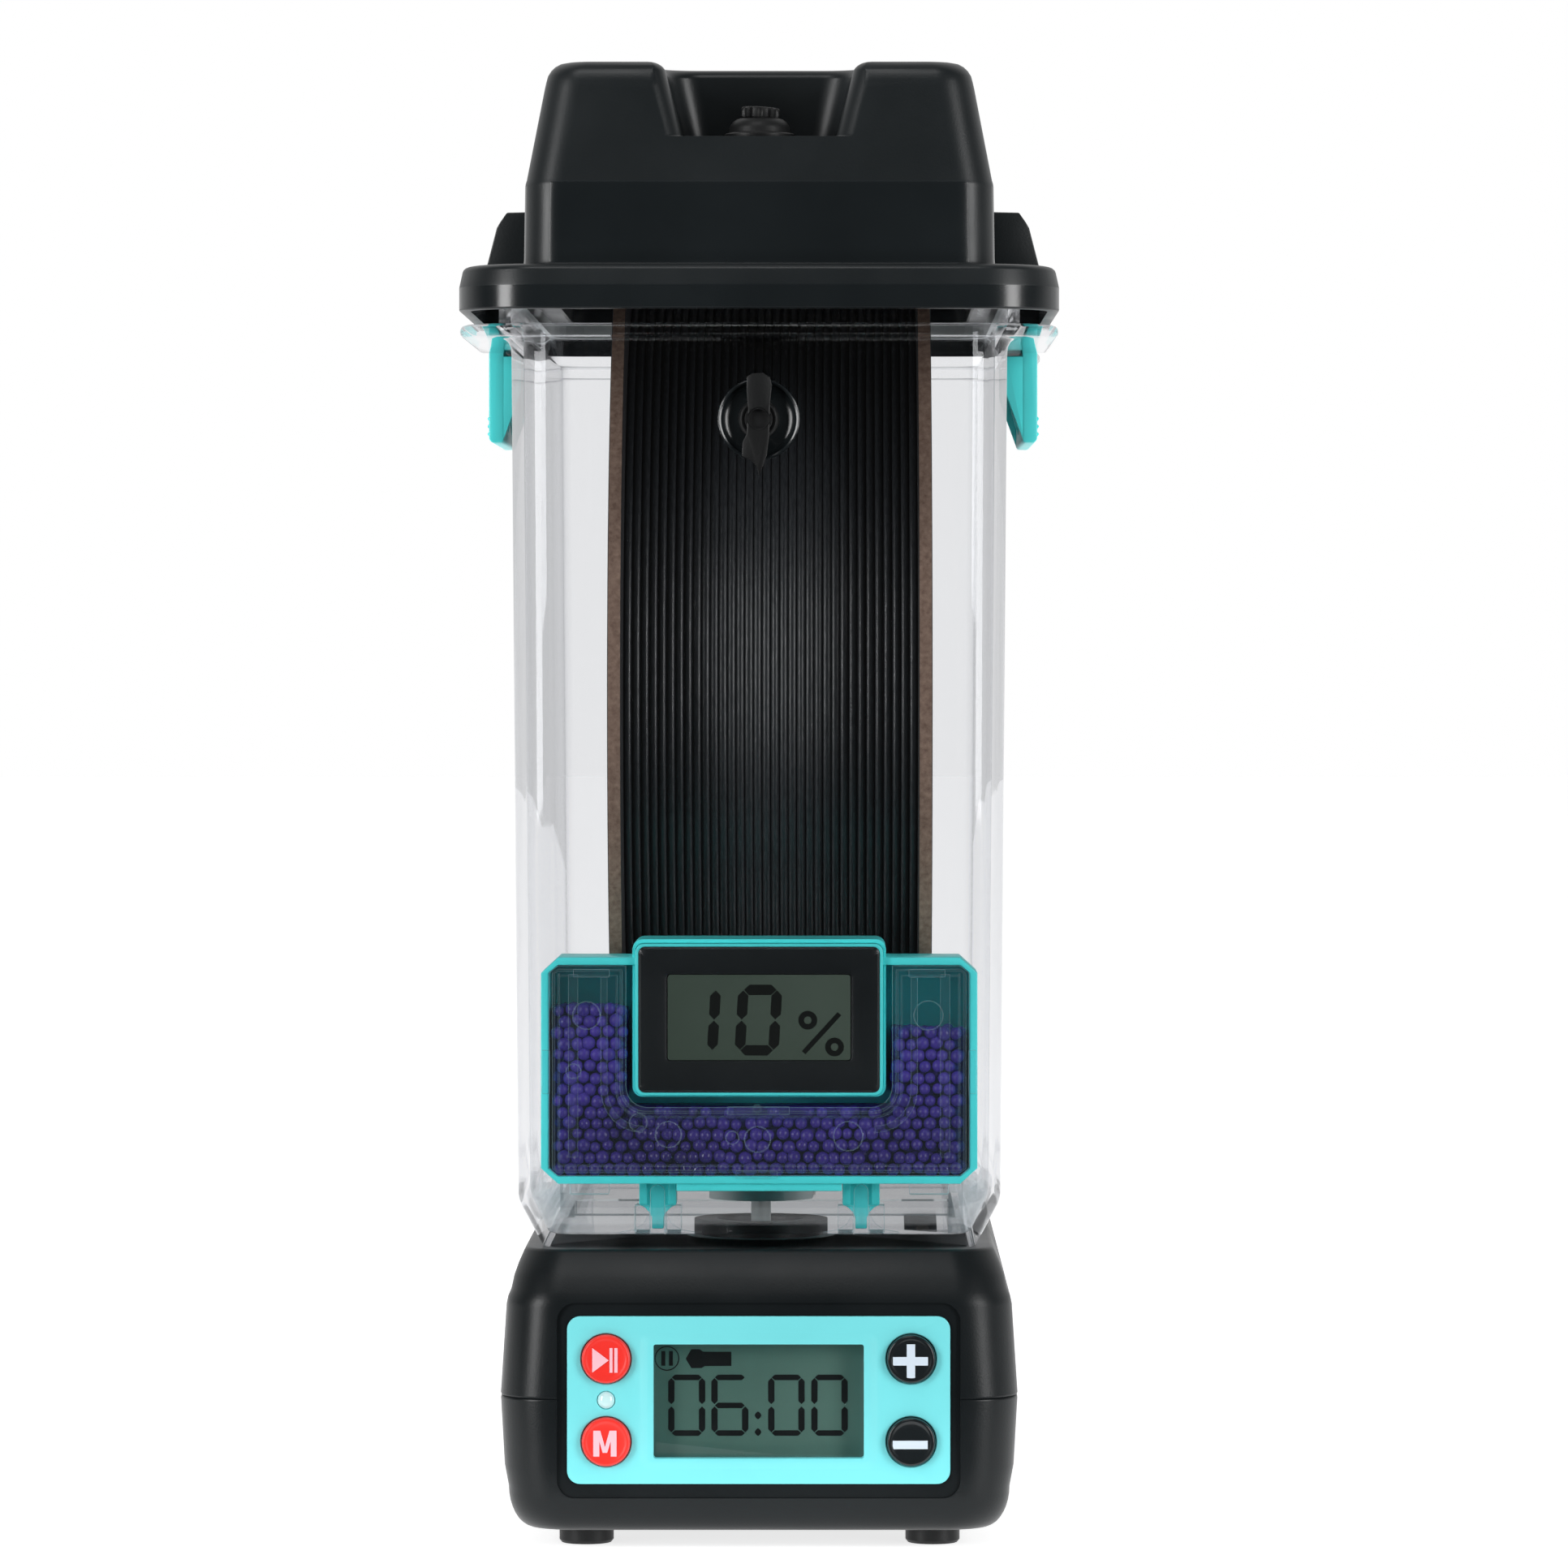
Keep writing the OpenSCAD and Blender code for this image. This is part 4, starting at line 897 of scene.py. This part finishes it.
for s in (0, 1):
    ob = (lower, upper)[s]
    bosses = [lathe("b", [(0, 5.2), (4.5, 5.2), (4.5, 29.98), (0, 29.98)] if s == 0 else [(0, 30.02), (4.5, 30.02), (4.5, 57.2), (0, 57.2)], (sx * 42, sy * 92, 0), (0, 0, 1), 32) for sx in (-1, 1) for sy in (-1, 1)]
    boolean(ob, bosses, "UNION")
pocket = prism("c", arc2(39.7, 19.2, 3.6, 0, 29.7, 8), "xz", -130, -116.9)
well = prism("c", arc2(37.8, 16.6, 2.7, 0, PZ, 6), "xz", -117.5, -110)
gap = prism("c", [(-39.6, 11.2), (39.6, 11.2), (39.6, 48.2), (-39.6, 48.2)], "xz", -115.8, -108)
for ob in (lower, upper):
    boolean(ob, [pocket, well, gap], keep=True)
for c in (pocket, well, gap):
    bpy.data.objects.remove(c, do_unlink=True)
cuts = []
for sx in (-1, 1):
    for sy in (-1, 1):
        cuts.append(lathe("c", [(0, 2), (3.2, 2), (3.2, 12), (1.7, 12), (1.7, 40), (0, 40)], (sx * 42, sy * 92, 0), (0, 0, 1), 32))
        cuts.append(lathe("c", [(0, 2), (5.42, 2), (5.42, 4.6), (0, 4.6)], (sx * 34.4, sy * 100, 0), (0, 0, 1), 40))
cuts.append(prism("c", arc2(7.2, 5.7, 1, -32, 20, 4), "xz", 100, 130))
for i in range(6):
    cuts.append(prism("c", arc2(1.2, 6, 0.9, 5.2 + i * 5, 20, 3), "xz", 100, 130))
boolean(lower, cuts)
cuts = []
for y in (92, -72):
    for k in range(6):
        a = 60 * k
        pts = []
        for i in range(7):
            t = math.radians(a + 5.3 + (60 - 10.6) * i / 6)
            pts.append((11 * math.cos(t), y + 11 * math.sin(t)))
        for i in range(5):
            t = math.radians(a + 60 - 16.7 - (60 - 33.4) * i / 4)
            pts.append((3.5 * math.cos(t), y + 3.5 * math.sin(t)))
        cuts.append(prism("c", pts, "xy", 50, 62))
    cuts.append(lathe("c", [(12, 57.4), (15, 57.4), (15, 62), (12, 62)], (0, y, 0), (0, 0, 1), 48))
for sx in (-1, 1):
    for sy in (-1, 1):
        cuts.append(lathe("c", [(0, 28), (1.5, 28), (1.5, 41), (0, 41)], (sx * 42, sy * 92, 0), (0, 0, 1), 20))
boolean(upper, cuts)
for ob in (lower, upper):
    round_edges(ob, 0.3, 2, 60)
    shade(ob, 32)
dress(lower, "dock_black", "dock", "dock_lower_shell")
dress(upper, "dock_black", "dock", "dock_upper_shell")
for ob in (lower, upper):
    wn = ob.modifiers.new("even", "WEIGHTED_NORMAL")
    wn.keep_sharp = True
    wn.weight = 90

# control panel
plate_ = prism("panel_bezel", arc2(37.7, 16.5, 2.6, 0, PZ, 8), "xz", -117.4, -115.2)
boolean(plate_, prism("c", arc2(39.2, 18, 2.6, 0, PZ, 8), "xz", -115.8, -114.6), "UNION")
hump = loft("c", [[(x, y, z) for x, z in arc2(a, b, r, 0, PZ - 0.2, 6)] for y, a, b, r in ((-116, 23.9, 13.9, 2.2), (-117.4, 23.6, 13.6, 2.0), (-117.55, 23.1, 13.1, 1.8), (-117.95, 22.0, 12.2, 1.3), (-118.0, 21.7, 11.9, 1.1))])
boolean(plate_, hump, "UNION")
cuts = [prism("c", arc2(20.7, 11.2, 0.5, 0, PZ - 0.2, 4), "xz", -120, -110)]
for sx in (-1, 1):
    for sz in (-1, 1):
        cuts.append(lathe("c", [(0, 110), (4.95, 110), (4.95, 117.15), (5.2, 117.5), (5.2, 120), (0, 120)], (sx * 30, 0, PZ + sz * 8.15), (0, -1, 0), 56))
cuts.append(lathe("c", [(0, 110), (1.82, 110), (1.82, 120), (0, 120)], (-30, 0, PZ), (0, -1, 0), 32))
boolean(plate_, cuts)
round_edges(plate_, 0.28, 3, 55)
shade(plate_, 32)
posts = [lathe("b", [(0, 102.4), (1.5, 102.4), (1.5, 115), (0, 115)], (sx * 26, 0, PZ + sz * 14.2), (0, -1, 0), 20) for sx in (-1, 1) for sz in (-1, 1)]
plate_ = join("panel_bezel_body", [plate_] + posts)
shade(plate_, 32)
dress(plate_, "panel", "dock", "control_bezel")

win = join("panel_window_pane", [prism("w", arc2(20.62, 11.12, 0.5, 0, PZ - 0.2, 4), "xz", -116.2, -114.62, 0.12, 2), prism("w", arc2(22.4, 12.6, 0.7, 0, PZ - 0.2, 4), "xz", -114.6, -114.05)])
dress(win, "window", "dock", "lcd_window")
node_look("lcd_module", "lcd")


def pp(cx, cy, k=0.16):
    """panel detail measured on a 3.2x drawing of the panel, to X and Z"""
    return ((cx / 3.2 + 690) - 933.5) * k, 177.5 + (800 - (cy / 3.2 + 1620)) * k


polys = []
H = 0.16 / 3.2


def hbar(x0, x1, y, w=22):
    return [pp(x0, y), pp(x0 + w * 0.55, y - w / 2), pp(x1 - w * 0.55, y - w / 2), pp(x1, y), pp(x1 - w * 0.55, y + w / 2), pp(x0 + w * 0.55, y + w / 2)]


def vbar(x, y0, y1, w=25):
    return [pp(x, y0), pp(x + w / 2, y0 + w * 0.5), pp(x + w / 2, y1 - w * 0.5), pp(x, y1), pp(x - w / 2, y1 - w * 0.5), pp(x - w / 2, y0 + w * 0.5)]


for x0, x1, keys in ((422, 568, "abcdef"), (592, 738, "acdefg"), (816, 960, "abcdef"), (986, 1130, "abcdef")):
    seg = {"a": hbar(x0 + 14, x1 - 14, 246.5), "g": hbar(x0 + 14, x1 - 14, 357), "d": hbar(x0 + 14, x1 - 14, 466),
           "f": vbar(x0 + 12.5, 249, 352), "b": vbar(x1 - 12.5, 249, 352), "e": vbar(x0 + 12.5, 361, 463), "c": vbar(x1 - 12.5, 361, 463)}
    polys += [seg[k] for k in keys]
for cy in (396, 462):
    polys.append([pp(776 + 13.5 * math.cos(math.radians(a)) * (1.0 if a % 90 == 0 else 0.86), cy + 16 * math.sin(math.radians(a)) * (1.0 if a % 90 == 0 else 0.86)) for a in range(0, 360, 45)])
cx, cz = pp(417, 171.5)
polys += ringpoly(cx, cz, 44.5 * H, 49 * H, 20)
for x0, x1 in ((394.5, 410.5), (425, 440.5)):
    polys.append([pp(x0, 142.5), pp(x1, 142.5), pp(x1, 200.5), pp(x0, 200.5)])
polys.append([pp(x, y) for x, y in ((491, 173), (513, 135), (546, 135), (559, 145), (671, 145), (671, 201.5), (567, 201.5), (553, 210), (513, 210))])
decals("panel_digits", polys, -114.0, "segment", "dock", 0.045)

KEYS = {"play_pause_button": (-30, 1, "red", (173, 171.5)), "mode_button": (-30, -1, "red", (173, 500.5)), "plus_button": (30, 1, "black_gloss", (1381, 181)), "minus_button": (30, -1, "black_gloss", (1381, 510))}
SYM = {
    "play_pause_button": [[(119, 127), (184, 176), (119, 224)], [(187, 127), (199, 127), (199, 224), (187, 224)], [(206, 127), (219, 127), (219, 224), (206, 224)]],
    "mode_button": [[(123, 557), (123, 455), (151, 455), (169, 519), (187, 455), (215, 455), (215, 557), (192, 557), (192, 497), (178, 542), (160, 542), (147, 497), (147, 557)]],
    "plus_button": [[(1309, 172), (1363.5, 172), (1363.5, 122), (1396.5, 122), (1396.5, 172), (1447, 172), (1447, 205.5), (1396.5, 205.5), (1396.5, 257), (1363.5, 257), (1363.5, 205.5), (1309, 205.5)]],
    "minus_button": [[(1308, 504), (1446, 504), (1446, 537), (1308, 537)]],
}
for key, (bx, sz, mat, cc) in KEYS.items():
    z = PZ + sz * 8.15
    cap_ = lathe("key_" + key, [(0, 118.42), (2.6, 118.44), (3.5, 118.5), (3.85, 118.6), (4.1, 118.72), (4.32, 118.74), (4.5, 118.66), (4.66, 118.48), (4.76, 118.2), (4.8, 117.8), (4.8, 114.5),
                                (5.3, 114.4), (5.3, 113.4), (2.0, 113.4), (2.0, 108.05), (1.85, 107.95), (0, 107.95)], (bx, 0, z), (0, -1, 0), 64, 35)
    dress(cap_, mat, key, key)
    polys = [[(bx + (x - cc[0]) * 0.1596 / 3.2, z - (y - cc[1]) * 0.1596 / 3.2) for x, y in p] for p in SYM[key]]
    decals("mark_" + key, polys, -118.5, "symbol_pink" if mat == "red" else "symbol_white", key, 0.06)

lp = lathe("status_lens", [(0, 118.05), (0.5, 118.0), (1.0, 117.85), (1.4, 117.55), (1.65, 117.2), (1.78, 116.8), (1.8, 116.0), (1.8, 114.62), (2.3, 114.55), (2.3, 102.45), (0, 102.4)], (-30, 0, PZ), (0, -1, 0), 40, 35)
dress(lp, "light", "dock", "status_light_pipe")

for n in ("foot_front_left", "foot_front_right", "foot_rear_left", "foot_rear_right"):
    node_look(n, "black_soft", 0.25)
for n in ("case_screw_front_left", "case_screw_front_right", "case_screw_rear_left", "case_screw_rear_right"):
    node_look(n, "steel", 0.15)
node_look("control_board", "pcb")
node_look("tact_switches", "dark")
node_look("blower_housing", "dark", 0.3)
node_look("blower_motor", "steel", 0.3)
node_look("blower_impeller", "dark", 0.1)
node_look("heater_element", "fins", 0.1)
node_look("air_duct", "dark", 0.3)
node_look("return_duct", "dark", 0.3)
node_look("power_board", "pcb")
node_look("power_inlet", "dark", 0.2)
node_look("inlet_air_gasket", "seal")
node_look("outlet_air_gasket", "seal")

# ------------------------------------------------------------------ floor, light, camera
fm, nt, b = mat_new("floor_paper")
n = noise(nt, 4, 3)
r = ramp(nt, n.outputs["Fac"], [(0.3, (0.86, 0.86, 0.865)), (0.7, (0.9, 0.9, 0.9))])
nt.links.new(r.outputs["Color"], b.inputs["Base Color"])
b.inputs["Roughness"].default_value = 0.8
b.inputs["Emission Color"].default_value = (1, 1, 1, 1)
b.inputs["Emission Strength"].default_value = 0.76
floor = new_obj("floor", [(-6000, -165, 0), (6000, -165, 0), (6000, 9000, 0), (-6000, 9000, 0)], [(0, 1, 2, 3)])
floor.data.materials.clear()
floor.data.materials.append(fm)

sc = bpy.context.scene
w = bpy.data.worlds.new("studio")
sc.world = w
w.use_nodes = True
bg = w.node_tree.nodes["Background"]
bg.inputs["Color"].default_value = (1, 1, 1, 1)
bg.inputs["Strength"].default_value = 1.0
wt = w.node_tree
lp = wt.nodes.new("ShaderNodeLightPath")
tc = wt.nodes.new("ShaderNodeTexCoord")
sp = wt.nodes.new("ShaderNodeSeparateXYZ")
wt.links.new(tc.outputs["Generated"], sp.inputs["Vector"])
back = wt.nodes.new("ShaderNodeMapRange")
back.interpolation_type = "SMOOTHSTEP"
back.inputs["From Min"].default_value = -0.1
back.inputs["From Max"].default_value = 0.7
back.inputs["To Min"].default_value = 0.035
back.inputs["To Max"].default_value = 0.75
wt.links.new(sp.outputs["Y"], back.inputs["Value"])
lift = wt.nodes.new("ShaderNodeMapRange")
lift.inputs["To Max"].default_value = 1.0
wt.links.new(lp.outputs["Is Camera Ray"], lift.inputs["Value"])
wt.links.new(back.outputs["Result"], lift.inputs["To Min"])
wt.links.new(lift.outputs["Result"], bg.inputs["Strength"])


def area(name, loc, size, power, target=(0, 0, 0.15), size_y=None, colour=(1, 1, 1)):
    d = bpy.data.lights.new(name, "AREA")
    d.energy = power
    d.color = colour
    d.shape = "RECTANGLE"
    d.size = size
    d.size_y = size_y or size
    o = bpy.data.objects.new(name, d)
    COL.objects.link(o)
    o.location = loc
    o.rotation_euler = (Vector(target) - Vector(loc)).to_track_quat("-Z", "Y").to_euler()
    return o


area("key_top", (-0.2, -0.75, 1.5), 0.7, 4.5, (0, 0, 0.2))
area("soft_right", (1.15, -1.0, 0.4), 0.45, 14, (0, 0, 0.15), 1.0)
area("soft_left", (-1.15, -1.0, 0.4), 0.45, 15, (0, 0, 0.15), 1.0)

cd = bpy.data.cameras.new("camera")
cd.lens = 174.7
cd.sensor_width = 36
cd.shift_x = -0.0357
cd.shift_y = -0.0859
cd.clip_start = 0.05
cd.clip_end = 50
cam = bpy.data.objects.new("camera", cd)
COL.objects.link(cam)
cam.location = (0.016, -1.614, 0.1775)
cam.rotation_euler = (math.radians(90), 0, 0)
sc.camera = cam
sc.view_settings.view_transform = "Standard"
sc.cycles.transparent_max_bounces = 40
sc.cycles.max_bounces = 16
sc.cycles.transmission_bounces = 12
